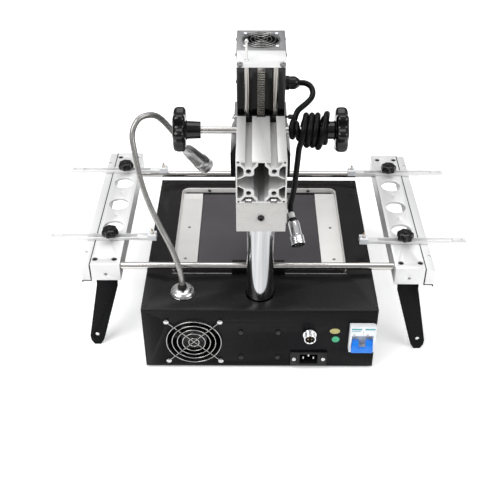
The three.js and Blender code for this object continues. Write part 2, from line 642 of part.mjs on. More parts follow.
function upperEmitter() {
  const wide = HOOD.half - HOOD.sheet - 1;
  const near = HOOD.near + HOOD.sheet + 1;
  const far = HOOD.far - HOOD.sheet - 1;
  let emitter = box(X - wide, X + wide, near, far, 238, 250);
  for (let i = -3; i <= 3; i += 1) {
    const x = X + i * 10;
    emitter = emitter.subtract(box(x - 1.5, x + 1.5, near + 4, far - 4, 237, 240));
  }
  return emitter;
}
place("upper_emitter", upperEmitter(), CERAMIC);

// ---- head cable: gland, lead, coil round the right-hand shaft, tail and plug ----
const GLAND = { y: 165, z: 352 };
const glandProfile = [
  [0, X + 31.3], [9, X + 31.3], [9, X + 36], [7.4, X + 37],
  [7.4, X + 43], [5.4, X + 46], [4, X + 50], [0, X + 50],
];
place("cable_gland", turned("x", [0, GLAND.y, GLAND.z], glandProfile, 20), BLACK_PLASTIC);

const LEAD_PATH = [
  [50.9, 165, 352],
  [58, 164.6, 351.6],
  [64.5, 160, 349.5],
  [67, 151, 346],
  [65, 141, 343],
  [58.5, 131, 340.5],
  [52, 125.5, 337.5],
  [46.4, 122.8, 334],
  [44.2, 118, 330],
];
const TAIL_PATH = [
  [48.4, 84.4, 302.1],
  [47.6, 84.6, 292],
  [46.2, 84.3, 272],
  [43.6, 82.6, 241.1],
  [41, 81.4, 226],
  [39.8, 79.6, 219],
  [39.6, 77.2, 215],
  [40.4, 74, 212.6],
];
const PLUG_TIP = [49.5, 36, 186.4];
place("cable_lead", tube(LEAD_PATH, CABLE.r, 20), RUBBER);
// Tight turns on the shaft next to the arm, then two layers on the shaft and the handwheel's hub.
const coilProfile = [
  [4.8, 33.5], [11, 33.5], [11, 48], [20.8, 48], [20.8, 73], [18, 73],
  [18, 86], [11.8, 86], [11.8, 74.6], [4.8, 74.6], [4.8, 33.5],
];
place("cable_coil", turned("x", [0, SHAFT.y, SHAFT.z], coilProfile, 28), RUBBER);
place("cable_tail", tube(TAIL_PATH, CABLE.r, 14), RUBBER);

function cablePlug() {
  const start = new THREE.Vector3(...TAIL_PATH.at(-1));
  const axis = new THREE.Vector3(...PLUG_TIP).sub(start);
  const length = axis.length();
  const profile = [
    [0, 0.9], [4, 0.9], [4, 10], [5.8, 11], [5.8, 14.5], [7.7, 15], [7.7, length - 13],
    [9.5, length - 12], [9.5, length - 1], [8.5, length], [7.4, length], [7.4, length - 3], [0, length - 3],
  ];
  const points = profile.map(([r, h]) => new THREE.Vector2(r, h));
  const geometry = new THREE.LatheGeometry(points, 20);
  const aim = new THREE.Quaternion().setFromUnitVectors(new THREE.Vector3(0, 1, 0), axis.normalize());
  return solidOf(geometry.applyQuaternion(aim).translate(start.x, start.y, start.z));
}
place("cable_plug", cablePlug(), CHROME);

// ---- board rails on their rods ----
// Each rod lies in the grooved top of a low block on the deck's edge.
for (const [end, y, ...sides] of [["rear", ROD.near, -5, 15], ["front", ROD.far, -15, 5]]) {
  const bar = rod("x", [0, y, ROD.z], ROD.r, ROD.middle - ROD.half, ROD.middle + ROD.half, ROD.r, 20);
  place(`rod_${end}`, bar, CHROME);
  const support = box(-38, 35, y + sides[0], y + sides[1], DECK_TOP + GAP, ROD.z - 1)
    .subtract(rod("x", [0, y, ROD.z], ROD.r + GAP, -50, 50));
  place(`rod_support_${end}`, support, BLACK_PAINT);
}

// A channel, open underneath between two solid ends, with an outer lip behind a narrow groove.
function boardRail(side) {
  const middle = RAIL_X[side];
  const near = RAIL_NEAR[side];
  const far = near + RAIL.length;
  const out = side === "left" ? -1 : 1;
  const half = RAIL.width / 2;
  const lipTop = RAIL.high - 1;
  const grooveFloor = RAIL.low + 3;
  const section = [
    [-half, RAIL.low], [half + RAIL.lip, RAIL.low], [half + RAIL.lip, lipTop], [half + RAIL.groove, lipTop],
    [half + RAIL.groove, grooveFloor], [half, grooveFloor], [half, RAIL.high], [-half, RAIL.high],
  ];
  const points = section.map(([x, z]) => [middle + out * x, z]);
  const inside = half - CHANNEL.side;
  let rail = drawn(outlineOf(out > 0 ? points : points.reverse()), near, far).subtract(
    box(
      middle - inside, middle + inside, near + CHANNEL.ends, far - CHANNEL.ends,
      RAIL.low - 1, RAIL.high - CHANNEL.top
    )
  );
  for (const y of CHANNEL.holesAt) {
    const { hole } = CHANNEL;
    rail = rail.subtract(rod("z", [middle, near + y, 0], hole, RAIL.low + 5, RAIL.high + 1, hole, 32));
  }
  for (const y of [ROD.near, ROD.far]) {
    rail = rail.subtract(rod("x", [0, y, ROD.z], ROD.r + GAP, middle - 60, middle + 60));
  }
  for (const y of [CLAMP.near[side], CLAMP.far[side]]) {
    rail = rail.subtract(rod("z", [middle, y, 0], 2.9, RAIL.high - 8, RAIL.high + 1, 2.9, 12));
  }
  return rail;
}

// A flat bar from under the rail's rear end down to the table, leaning out and back.
function railLeg(side) {
  const out = side === "left" ? -1 : 1;
  const middle = RAIL_X[side];
  const bar = [
    [-14, RAIL.low - GAP], [15, RAIL.low - GAP], [15, RAIL.low - 10], [30, 10], [29, 3], [24, -4],
    [16, -4], [11, 3], [8, 12], [-14, RAIL.low - 12],
  ];
  const points = bar.map(([x, z]) => [middle + out * x, z]);
  const shape = outlineOf(out > 0 ? points.reverse() : points);
  shape.holes.push(circlePath(middle + out * 20, 12, 3));
  const flat = drawn(shape, -2, 2, 5);
  const lean = -Math.atan2(26, RAIL.low);
  const upright = flat.translate([0, 0, -RAIL.low]).rotate([(lean * 180) / Math.PI, 0, 0]);
  const moved = upright.translate([0, RAIL_NEAR[side] + 6, RAIL.low - GAP]);
  return moved.trimByPlane([0, 0, -1], -(RAIL.low - GAP)).trimByPlane([0, 0, 1], 0);
}

// A slotted flat bar across a rail, with a raised tip and a short pin at its inner end.
function clampBar(side, y) {
  const out = side === "left" ? -1 : 1;
  const inner = BAR_INNER[side];
  const outer = BAR_OUTER[side];
  const half = BAR.width / 2;
  const span = (a, b, ...rest) => (out > 0 ? box(a, b, ...rest) : box(-b, -a, ...rest));
  const middle = Math.abs(RAIL_X[side]);
  const bar = span(inner, outer, y - half, y + half, BAR.low, BAR.high);
  const slot = span(middle - 38, middle + 68, y - BAR.slot / 2, y + BAR.slot / 2, BAR.low - 1, BAR.high + 1);
  const tip = span(inner, inner + 12, y - 6, y + 6, BAR.low, BAR.high + 4);
  const pin = rod("z", [out * (inner + 6), y, 0], 2, BAR.high + 3, BAR.high + 9, 2, 12);
  const notch = rod("z", [out * (inner - 1), y, 0], 3.5, BAR.low - 1, BAR.high + 5, 3.5, 4);
  const endHole = rod("z", [out * (outer - 5), y, 0], 1.6, BAR.low - 1, BAR.high + 1, 1.6, 12);
  return bar.subtract(slot).subtract(endHole).add(tip).add(pin).subtract(notch);
}

function clampKnob(side, y) {
  const star = new THREE.Shape();
  const steps = 48;
  for (let i = 0; i < steps; i += 1) {
    const angle = (2 * Math.PI * i) / steps;
    const r = 11.1 + 1.1 * Math.cos(6 * angle);
    star[i === 0 ? "moveTo" : "lineTo"](r * Math.cos(angle), r * Math.sin(angle));
  }
  const x = RAIL_X[side];
  const head = raised(star, BAR.high + 2, BAR.high + 13).translate([x, y, 0]);
  const skirt = rod("z", [x, y, 0], 8, BAR.high + GAP, BAR.high + 3, 9, 20);
  const stud = rod("z", [x, y, 0], 2.5, RAIL.high - 6.5, BAR.high + 1, 2.5, 12);
  return head.add(skirt).add(stud);
}

for (const [side, name] of [["left", "right"], ["right", "left"]]) {
  // The left of the rear view is the operator's right.
  place(`rail_${name}`, boardRail(side), ALUMINIUM);
  place(`leg_${name}`, railLeg(side), BLACK_PAINT);
  for (const [end, y] of [["rear", CLAMP.near[side]], ["front", CLAMP.far[side]]]) {
    place(`clamp_bar_${end}_${name}`, clampBar(side, y), ALUMINIUM);
    place(`clamp_knob_${end}_${name}`, clampKnob(side, y), BLACK_PLASTIC);
  }
}

export default model;
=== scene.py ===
"""Infrared rework station: the finished looks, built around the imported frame.

Shapes are laid out in millimetres as seen from the rear: x to the right, y in from the rear panel,
z up. TO_ROW turns that layout into the row frame, in metres.
"""
import json
import math

import bmesh
import bpy
from mathutils import Matrix, Vector


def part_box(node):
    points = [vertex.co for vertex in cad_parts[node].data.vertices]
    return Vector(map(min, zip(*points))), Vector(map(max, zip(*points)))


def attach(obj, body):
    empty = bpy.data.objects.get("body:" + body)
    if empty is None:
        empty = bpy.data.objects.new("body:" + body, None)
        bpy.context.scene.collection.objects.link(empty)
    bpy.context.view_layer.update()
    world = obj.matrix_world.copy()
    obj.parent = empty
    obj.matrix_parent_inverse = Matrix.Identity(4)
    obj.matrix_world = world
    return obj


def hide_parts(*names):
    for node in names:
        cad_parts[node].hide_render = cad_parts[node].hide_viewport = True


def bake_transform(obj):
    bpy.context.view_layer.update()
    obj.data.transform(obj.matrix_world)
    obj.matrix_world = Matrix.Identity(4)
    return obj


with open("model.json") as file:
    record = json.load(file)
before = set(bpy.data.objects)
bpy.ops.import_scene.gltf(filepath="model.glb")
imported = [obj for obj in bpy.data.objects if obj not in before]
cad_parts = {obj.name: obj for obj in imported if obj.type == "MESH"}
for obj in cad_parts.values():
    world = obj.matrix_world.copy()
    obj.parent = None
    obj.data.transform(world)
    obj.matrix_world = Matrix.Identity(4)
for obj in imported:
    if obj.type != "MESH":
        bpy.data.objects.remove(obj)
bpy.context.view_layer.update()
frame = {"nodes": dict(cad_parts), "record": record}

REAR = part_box("rear_panel")[1].y
TO_ROW = Matrix.Translation((0, REAR, 0)) @ Matrix.Rotation(math.pi, 4, "Z") @ Matrix.Scale(0.001, 4)
TO_LAYOUT = TO_ROW.inverted()


def at(x, y, z):
    """A layout point in the row frame, in metres."""
    return TO_ROW @ Vector((x, y, z))


def span(node):
    """(lowest corner, highest corner) of a CAD node in the layout, in millimetres."""
    a, b = (TO_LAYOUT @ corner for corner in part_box(node))
    return Vector(map(min, a, b)), Vector(map(max, a, b))


def middle(node):
    low, high = span(node)
    return (low + high) / 2


# ---- camera ----
def add_camera():
    camera = bpy.data.objects.new("camera", bpy.data.cameras.new("camera"))
    bpy.context.scene.collection.objects.link(camera)
    camera.data.lens = 58.2
    camera.data.sensor_width = 36
    camera.data.clip_end = 30
    camera.location = at(-9, -796, 813.8)
    pitch, yaw = math.radians(37.36), math.radians(0.27)
    look = Vector((math.sin(yaw) * math.cos(pitch), -math.cos(yaw) * math.cos(pitch), -math.sin(pitch)))
    camera.rotation_euler = look.to_track_quat("-Z", "Y").to_euler()
    bpy.context.scene.camera = camera


add_camera()


# ---- materials ----
M = {}


def surface(name, dark, light, rough=(0.3, 0.45), metal=0.0, scale=40, stretch=(1, 1, 1), bump=0.05,
            grain=900, grain_stretch=None, coat=0.0, specks=None, scratches=0.0, ior=1.5):
    """Adds a procedural finish to M: two tones in a soft pattern, uneven roughness, fine grain in relief."""
    mat = bpy.data.materials.new(name)
    mat.use_nodes = True
    nodes, link = mat.node_tree.nodes, mat.node_tree.links.new
    shader = nodes["Principled BSDF"]
    shader.inputs["Metallic"].default_value = metal
    shader.inputs["Coat Weight"].default_value = coat
    shader.inputs["Coat Roughness"].default_value = 0.12
    shader.inputs["IOR"].default_value = ior

    coords = nodes.new("ShaderNodeTexCoord")

    def noise(size, stretched, detail=4.0, rough_detail=0.55):
        mapping = nodes.new("ShaderNodeMapping")
        mapping.inputs["Scale"].default_value = stretched
        link(coords.outputs["Object"], mapping.inputs["Vector"])
        tex = nodes.new("ShaderNodeTexNoise")
        tex.inputs["Scale"].default_value = size
        tex.inputs["Detail"].default_value = detail
        tex.inputs["Roughness"].default_value = rough_detail
        link(mapping.outputs["Vector"], tex.inputs["Vector"])
        return tex.outputs["Fac"]

    def remap(value, low, high, start=0.3, end=0.7):
        node = nodes.new("ShaderNodeMapRange")
        node.inputs["From Min"].default_value = start
        node.inputs["From Max"].default_value = end
        node.inputs["To Min"].default_value = low
        node.inputs["To Max"].default_value = high
        link(value, node.inputs["Value"])
        return node.outputs["Result"]

    def mixed(factor, a, b):
        node = nodes.new("ShaderNodeMix")
        node.data_type = "RGBA"
        link(factor, node.inputs["Factor"])
        for socket, value in (("A", a), ("B", b)):
            target = next(i for i in node.inputs if i.name == socket and i.type == "RGBA")
            if isinstance(value, tuple):
                target.default_value = (*value, 1)
            else:
                link(value, target)
        return next(o for o in node.outputs if o.type == "RGBA")

    broad = noise(scale, stretch)
    fine = noise(grain, grain_stretch or stretch, detail=2.0)
    color = mixed(remap(broad, 0, 1), dark, light)
    if specks:
        dots = remap(noise(grain * 0.6, (1, 1, 1), detail=1.0), 0, 1, 0.62, 0.66)
        color = mixed(dots, color, specks)
    link(color, shader.inputs["Base Color"])
    uneven = remap(fine, rough[0], rough[1])
    if scratches:
        lines = remap(noise(220, (1, 14, 0.4), detail=3.0), 0, scratches, 0.6, 0.75)
        node = nodes.new("ShaderNodeMath")
        node.operation = "ADD"
        link(uneven, node.inputs[0])
        link(lines, node.inputs[1])
        uneven = node.outputs["Value"]
    link(uneven, shader.inputs["Roughness"])
    relief = nodes.new("ShaderNodeBump")
    relief.inputs["Strength"].default_value = bump
    relief.inputs["Distance"].default_value = 0.0004
    link(fine, relief.inputs["Height"])
    link(relief.outputs["Normal"], shader.inputs["Normal"])
    M[name] = mat


ALONG_X, ALONG_Y, ALONG_Z = (0.03, 1, 1), (1, 0.03, 1), (1, 1, 0.03)
surface("case_black", (0.003, 0.003, 0.0035), (0.005, 0.005, 0.006), (0.24, 0.34), 0, 14, bump=0.06,
        grain=1400, specks=(0.01, 0.01, 0.011), ior=1.18)
surface("deck_black", (0.009, 0.0083, 0.0083), (0.012, 0.0112, 0.0112), (0.2, 0.3), 0, 10, bump=0.05,
        grain=1400, specks=(0.018, 0.0165, 0.0165), ior=1.27)
surface("anodised_black", (0.002, 0.002, 0.0025), (0.005, 0.005, 0.006), (0.22, 0.36), 0, 60, ALONG_Z,
        0.05, 1500, ior=1.35)
surface("bakelite", (0.001, 0.001, 0.001), (0.003, 0.003, 0.003), (0.07, 0.13), 0, 90, bump=0.03,
        grain=500, ior=1.42)
surface("moulded_black", (0.004, 0.004, 0.0045), (0.008, 0.008, 0.009), (0.36, 0.5), 0, 50, bump=0.1,
        grain=1800, ior=1.35)
surface("chrome", (0.78, 0.79, 0.80), (0.86, 0.86, 0.87), (0.03, 0.09), 1, 20, ALONG_Z, 0.01, 300)
surface("polished_rod", (0.5, 0.49, 0.465), (0.62, 0.61, 0.59), (0.1, 0.2), 1, 60, ALONG_X, 0.03, 900,
        scratches=0.1)
# The post's chrome runs in vertical streaks from dark to light grey in its colour: painted reflection bands.
surface("post_chrome", (0.22, 0.225, 0.235), (0.68, 0.69, 0.7), (0.1, 0.16), 1, 75, ALONG_Z, 0.01, 300)
surface("soft_chrome", (0.5, 0.5, 0.5), (0.78, 0.78, 0.78), (0.16, 0.3), 1, 45, bump=0.02, grain=400)
surface("guide_steel", (0.3, 0.285, 0.265), (0.46, 0.44, 0.42), (0.08, 0.16), 1, 60, ALONG_Z, 0.01, 300)
surface("corrugated", (0.27, 0.265, 0.255), (0.36, 0.355, 0.345), (0.2, 0.3), 0.6, 80, bump=0.03, grain=700)
surface("extrusion", (0.53, 0.53, 0.525), (0.58, 0.58, 0.575), (0.32, 0.44), 0.4, 30, ALONG_Y, 0.03,
        1300, scratches=0.06)
surface("plate_aluminium", (0.76, 0.76, 0.76), (0.82, 0.82, 0.82), (0.34, 0.46), 0.3, 30, ALONG_X, 0.03,
        1200, scratches=0.05)
surface("rail_aluminium", (0.72, 0.72, 0.72), (0.79, 0.79, 0.79), (0.36, 0.48), 0.25, 24, ALONG_Y, 0.03,
        1300, scratches=0.05)
surface("milled_grey", (0.46, 0.455, 0.44), (0.53, 0.525, 0.51), (0.42, 0.56), 0.35, 34, ALONG_X, 0.08,
        1100, specks=(0.42, 0.415, 0.4))
surface("tray_steel", (0.70, 0.69, 0.67), (0.76, 0.75, 0.73), (0.36, 0.48), 0.3, 20, ALONG_X, 0.02, 1200,
        scratches=0.04)
surface("stainless", (0.56, 0.555, 0.54), (0.68, 0.675, 0.66), (0.18, 0.32), 1, 26, ALONG_X, 0.06, 1200,
        scratches=0.12)
surface("rack_steel", (0.2, 0.19, 0.175), (0.34, 0.325, 0.3), (0.2, 0.32), 1, 50, bump=0.06, grain=900)
surface("gear_steel", (0.42, 0.41, 0.39), (0.58, 0.57, 0.55), (0.2, 0.34), 1, 50, bump=0.06, grain=900)
surface("heater_glass", (0.050, 0.047, 0.051), (0.066, 0.062, 0.067), (0.34, 0.5), 0, 12, bump=0.03,
        grain=700, ior=1.35)
surface("grey_paint", (0.20, 0.20, 0.205), (0.25, 0.25, 0.255), (0.36, 0.5), 0.1, 30, bump=0.08, grain=1300)
surface("silver_panel", (0.55, 0.55, 0.555), (0.63, 0.63, 0.635), (0.34, 0.46), 0.4, 24, ALONG_X, 0.06,
        1300)
surface("white_plastic", (0.74, 0.77, 0.80), (0.82, 0.84, 0.86), (0.34, 0.48), 0, 60, bump=0.08, grain=1500)
surface("blue_plastic", (0.002, 0.16, 0.68), (0.006, 0.21, 0.78), (0.25, 0.36), 0, 70, bump=0.06,
        grain=1200)
surface("board_green", (0.015, 0.11, 0.045), (0.03, 0.17, 0.07), (0.3, 0.45), 0, 90, bump=0.1, grain=800,
        specks=(0.55, 0.5, 0.35))
surface("rubber", (0.005, 0.005, 0.005), (0.01, 0.01, 0.01), (0.6, 0.8), 0, 120, bump=0.2, grain=1500,
        ior=1.35)
surface("cable_black", (0.002, 0.002, 0.0025), (0.004, 0.004, 0.0045), (0.3, 0.44), 0, 160, bump=0.1,
        grain=1300, ior=1.22)
surface("ceramic", (0.10, 0.095, 0.09), (0.16, 0.155, 0.145), (0.7, 0.85), 0, 90, bump=0.3, grain=1000)
surface("yellow_plastic", (0.7, 0.48, 0.03), (0.8, 0.58, 0.06), (0.38, 0.5), 0, 70, bump=0.08, grain=1300)
surface("brass", (0.42, 0.3, 0.16), (0.56, 0.42, 0.25), (0.2, 0.35), 1, 90, bump=0.06, grain=900)
# A flat black used only to paint the shade inside the arm's core bores.
surface("hole_shade_black", (0.004, 0.004, 0.004), (0.007, 0.007, 0.007), (0.7, 0.85), 0, 60, bump=0.1, grain=900)
surface("screw_black", (0.012, 0.012, 0.012), (0.028, 0.028, 0.028), (0.25, 0.4), 0.4, 200, bump=0.06,
        grain=1200)
surface("screw_grey", (0.2, 0.2, 0.2), (0.32, 0.32, 0.315), (0.2, 0.34), 1, 200, bump=0.06, grain=1200)
surface("screw_steel", (0.55, 0.55, 0.54), (0.72, 0.72, 0.71), (0.16, 0.3), 1, 200, bump=0.06, grain=1200)
surface("sticker_yellow", (0.40, 0.37, 0.13), (0.5, 0.46, 0.18), (0.4, 0.55), 0, 150, bump=0.04, grain=900)
surface("sticker_green", (0.03, 0.36, 0.16), (0.06, 0.46, 0.24), (0.4, 0.55), 0, 150, bump=0.04, grain=900)
surface("screen", (0.012, 0.013, 0.016), (0.02, 0.022, 0.026), (0.08, 0.14), 0, 40, bump=0.01, grain=600,
        coat=0.6)
surface("red_digit", (0.5, 0.02, 0.01), (0.75, 0.04, 0.02), (0.3, 0.4), 0, 90, bump=0.02, grain=600)
surface("white_sleeve", (0.68, 0.68, 0.67), (0.78, 0.78, 0.77), (0.4, 0.55), 0, 90, bump=0.08, grain=1100)
surface("guard_wire", (0.4, 0.4, 0.39), (0.54, 0.54, 0.53), (0.16, 0.28), 1, 90, bump=0.03, grain=800)
# A darker copy of guard_wire for the head guard, whose wires face up: painted shade that dims their glare
# from above.
surface("guard_wire_shaded", (0.26, 0.26, 0.255), (0.36, 0.36, 0.35), (0.2, 0.32), 1, 90, bump=0.03,
        grain=800)
surface("teal_plastic", (0.06, 0.3, 0.34), (0.1, 0.38, 0.42), (0.32, 0.45), 0, 70, bump=0.08, grain=1300)
surface("lamp_metal", (0.4, 0.4, 0.4), (0.56, 0.56, 0.555), (0.26, 0.36), 0.85, 60, bump=0.05, grain=1100)
surface("slide_gloss", (0.001, 0.001, 0.001), (0.003, 0.0028, 0.0025), (0.05, 0.1), 0, 30, ALONG_Z, 0.02,
        900, ior=1.42)


# ---- mesh building ----
class Shape:
    """A mesh under construction in layout millimetres. Each call adds one closed form."""

    def __init__(self):
        self.bm = bmesh.new()

    def _turned(self, verts, axis, place):
        turn = {"x": Matrix.Rotation(math.pi / 2, 4, "Y"), "y": Matrix.Rotation(-math.pi / 2, 4, "X"),
                "z": Matrix.Identity(4)}[axis]
        bmesh.ops.transform(self.bm, matrix=Matrix.Translation(place) @ turn, verts=verts)

    def box(self, x0, x1, y0, y1, z0, z1):
        made = bmesh.ops.create_cube(self.bm, size=1)["verts"]
        scale = Matrix.Diagonal((x1 - x0, y1 - y0, z1 - z0, 1))
        place = Matrix.Translation(((x0 + x1) / 2, (y0 + y1) / 2, (z0 + z1) / 2))
        bmesh.ops.transform(self.bm, matrix=place @ scale, verts=made)
        return self

    def lathe(self, profile, axis="z", place=(0, 0, 0), sides=48, aim=None, lobes=None):
        """Turns (radius, distance) points about an axis.

        aim is a direction that replaces the axis. lobes is (count, depth, from radius, to radius).
        """
        def reach(r, a):
            if lobes is None:
                return r
            count, depth, low, high = lobes
            share = min(1, max(0, (r - low) / (high - low)))
            return r - depth * share * (1 - math.cos(count * a)) / 2

        rings = []
        for r, h in profile:
            if r < 1e-6:
                rings.append([self.bm.verts.new((0, 0, h))])
                continue
            turn = [2 * math.pi * i / sides for i in range(sides)]
            spots = [(reach(r, a) * math.cos(a), reach(r, a) * math.sin(a), h) for a in turn]
            rings.append([self.bm.verts.new(spot) for spot in spots])
        for low, high in zip(rings, rings[1:]):
            for i in range(sides):
                j = (i + 1) % sides
                corners = [low[i % len(low)], low[j % len(low)], high[j % len(high)], high[i % len(high)]]
                corners = list(dict.fromkeys(corners))
                if len(corners) > 2:
                    self.bm.faces.new(corners)
        verts = [v for ring in rings for v in ring]
        if aim is None:
            self._turned(verts, axis, Vector(place))
        else:
            turn = Vector((0, 0, 1)).rotation_difference(Vector(aim)).to_matrix().to_4x4()
            bmesh.ops.transform(self.bm, matrix=Matrix.Translation(place) @ turn, verts=verts)
        return self

    def rod(self, r, start, end, sides=32, edge=0.0):
        """A round bar between two points, with its ends chamfered by edge."""
        start, end = Vector(start), Vector(end)
        long = (end - start).length
        profile = [(0, 0), (r - edge, 0), (r, edge), (r, long - edge), (r - edge, long), (0, long)]
        return self.lathe(profile, place=start, sides=sides, aim=end - start)

    def ring(self, place, big, small, axis="z", sides=64, around=10):
        """A torus, such as one ring of a wire guard."""
        loops = []
        for i in range(sides):
            a = 2 * math.pi * i / sides
            loop = []
            for j in range(around):
                b = 2 * math.pi * j / around
                r = big + small * math.cos(b)
                loop.append(self.bm.verts.new((r * math.cos(a), r * math.sin(a), small * math.sin(b))))
            loops.append(loop)
        for i in range(sides):
            for j in range(around):
                a, b = loops[i], loops[(i + 1) % sides]
                k = (j + 1) % around
                self.bm.faces.new([a[j], b[j], b[k], a[k]])
        self._turned([v for loop in loops for v in loop], axis, Vector(place))
        return self

    def prism(self, outline, axis, start, end):
        """An outline of two coordinates drawn along the third, which is axis."""
        spots = {"x": lambda a, b, c: (c, a, b),
                 "y": lambda a, b, c: (a, c, b),
                 "z": lambda a, b, c: (a, b, c)}
        spot = spots[axis]
        low = [self.bm.verts.new(spot(a, b, start)) for a, b in outline]
        high = [self.bm.verts.new(spot(a, b, end)) for a, b in outline]
        self.bm.faces.new(low[::-1])
        self.bm.faces.new(high)
        for i in range(len(outline)):
            j = (i + 1) % len(outline)
            self.bm.faces.new([low[i], low[j], high[j], high[i]])
        return self

    def sweep(self, line, radius, sides=16):
        """A tube along a list of points. radius is a number, or a function of the point's index."""
        line = [Vector(p) for p in line]
        size = radius if callable(radius) else (lambda i: radius)
        side = Vector((0, 0, 1))
        rings = []
        for i, p in enumerate(line):
            run = (line[min(i + 1, len(line) - 1)] - line[max(i - 1, 0)]).normalized()
            side = (side - run * side.dot(run))
            if side.length < 1e-3:
                side = run.orthogonal()
            side.normalize()
            up = run.cross(side)
            ring = []
            for j in range(sides):
                a = 2 * math.pi * j / sides
                ring.append(self.bm.verts.new(p + (side * math.cos(a) + up * math.sin(a)) * size(i)))
            rings.append(ring)
        for a, b in zip(rings, rings[1:]):
            for j in range(sides):
                k = (j + 1) % sides
                self.bm.faces.new([a[j], a[k], b[k], b[j]])
        self.bm.faces.new(rings[0][::-1])
        self.bm.faces.new(rings[-1])
        return self

    def screw(self, place, r, axis, out, head=1.6, socket="cross"):
        """A screw's head standing on a face at place. out is 1 or -1 along axis."""
        place = Vector(place)
        way = {"x": Vector((1, 0, 0)), "y": Vector((0, 1, 0)), "z": Vector((0, 0, 1))}[axis] * out
        dome = [(0, -0.4), (r, -0.4), (r, head * 0.35), (r * 0.88, head * 0.75), (r * 0.6, head),
                (r * 0.45, head)]
        if socket == "hex":
            dome += [(r * 0.45, head * 0.3), (0, head * 0.3)]
            return self.lathe(dome, place=place, sides=24, aim=way)
        self.lathe(dome + [(0, head)], place=place, sides=24, aim=way)
        return self

    def done(self, name, body, material, bevel=0.0, segments=2, smooth=38, replaces=(), slot=None):
        """Turns the form into a piece that rides on a body."""
        bmesh.ops.recalc_face_normals(self.bm, faces=self.bm.faces)
        bmesh.ops.transform(self.bm, matrix=TO_ROW, verts=self.bm.verts)
        mesh = bpy.data.meshes.new(name)
        self.bm.to_mesh(mesh)
        self.bm.free()
        return as_piece(name, mesh, body, material, bevel, segments, smooth, replaces)


def as_piece(name, mesh, body, material, bevel, segments, smooth, replaces=()):
    piece = bpy.data.objects.new(name, mesh)
    bpy.context.scene.collection.objects.link(piece)
    mesh.materials.clear()
    mesh.materials.append(M[material])
    mesh.polygons.foreach_set("use_smooth", [True] * len(mesh.polygons))
    if bevel:
        rounding = piece.modifiers.new("rounding", "BEVEL")
        rounding.width = bevel / 1000
        rounding.segments = segments
        rounding.limit_method = "ANGLE"
        rounding.angle_limit = math.radians(32)
        rounding.harden_normals = True
        apply_modifiers(piece)
    else:
        mesh.set_sharp_from_angle(angle=math.radians(smooth))
    if body:
        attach(piece, body)
    if replaces:
        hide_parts(*replaces)
    return piece


def apply_modifiers(piece):
    graph = bpy.context.evaluated_depsgraph_get()
    mesh = bpy.data.meshes.new_from_object(piece.evaluated_get(graph))
    piece.modifiers.clear()
    piece.data = mesh


BODY = {n: b for b, ns in frame["record"]["behaviour"]["bodies"].items() for n in ns}


def refined(node, material, bevel, segments=2, smooth=38, holes=()):
    """A CAD node's own shape, drilled, with its edges broken, in place of the plain node.

    Each hole is (start, end, radius).
    """
    bm = bmesh.new()
    bm.from_mesh(frame["nodes"][node].data)
    bmesh.ops.remove_doubles(bm, verts=bm.verts, dist=1e-6)
    bmesh.ops.dissolve_limit(bm, angle_limit=math.radians(0.5), verts=bm.verts, edges=bm.edges)
    mesh = bpy.data.meshes.new(node + "_finish")
    bm.to_mesh(mesh)
    bm.free()
    if holes:
        mesh = drilled(mesh, holes)
    return as_piece(node + "_finish", mesh, BODY[node], material, bevel, segments, smooth, (node,))


def drilled(mesh, holes):
    drill = Shape()
    for start, end, r in holes:
        drill.rod(r, start, end, sides=24)
    bmesh.ops.recalc_face_normals(drill.bm, faces=drill.bm.faces)
    bmesh.ops.transform(drill.bm, matrix=TO_ROW, verts=drill.bm.verts)
    bits = bpy.data.meshes.new("drill")
    drill.bm.to_mesh(bits)
    drill.bm.free()
    stock, tool = bpy.data.objects.new("stock", mesh), bpy.data.objects.new("drill", bits)
    for item in (stock, tool):
        bpy.context.scene.collection.objects.link(item)
    cut = stock.modifiers.new("cut", "BOOLEAN")
    cut.operation, cut.solver, cut.object = "DIFFERENCE", "EXACT", tool
    apply_modifiers(stock)
    result = stock.data
    bpy.data.objects.remove(stock)
    bpy.data.objects.remove(tool)
    return result


def smooth_line(points, step):
    """Points of a Catmull-Rom curve through given points, about step apart."""
    points = [Vector(p) for p in points]
    ends = [points[0] * 2 - points[1], *points, points[-1] * 2 - points[-2]]
    line = []
    for a, b, c, d in zip(ends, ends[1:], ends[2:], ends[3:]):
        count = max(1, round((c - b).length / step))
        for i in range(count):
            t = i / count
            line.append(0.5 * (2 * b + (c - a) * t + (2 * a - 5 * b + 4 * c - d) * t * t
                               + (3 * b - a - 3 * c + d) * t ** 3))
    return [*line, points[-1]]


# ---- head cable ----
CABLE_R = 3.7
COIL_LOW, COIL_HIGH = span("cable_coil")
SHAFT = middle("pinion_shaft")
GLAND = middle("cable_gland")
GLAND_OUT = span("cable_gland")[1].x
TAIL = [(48.4, 84.6, 302.1), (47.6, 84.6, 292), (46.2, 84.3, 272), (43.6, 82.6, 241.1), (41, 81.4, 226),
        (39.8, 79.6, 219), (39.6, 77.2, 215), (40.4, 74, 212.6)]
PLUG_TIP = Vector((49.5, 36, 186.4))


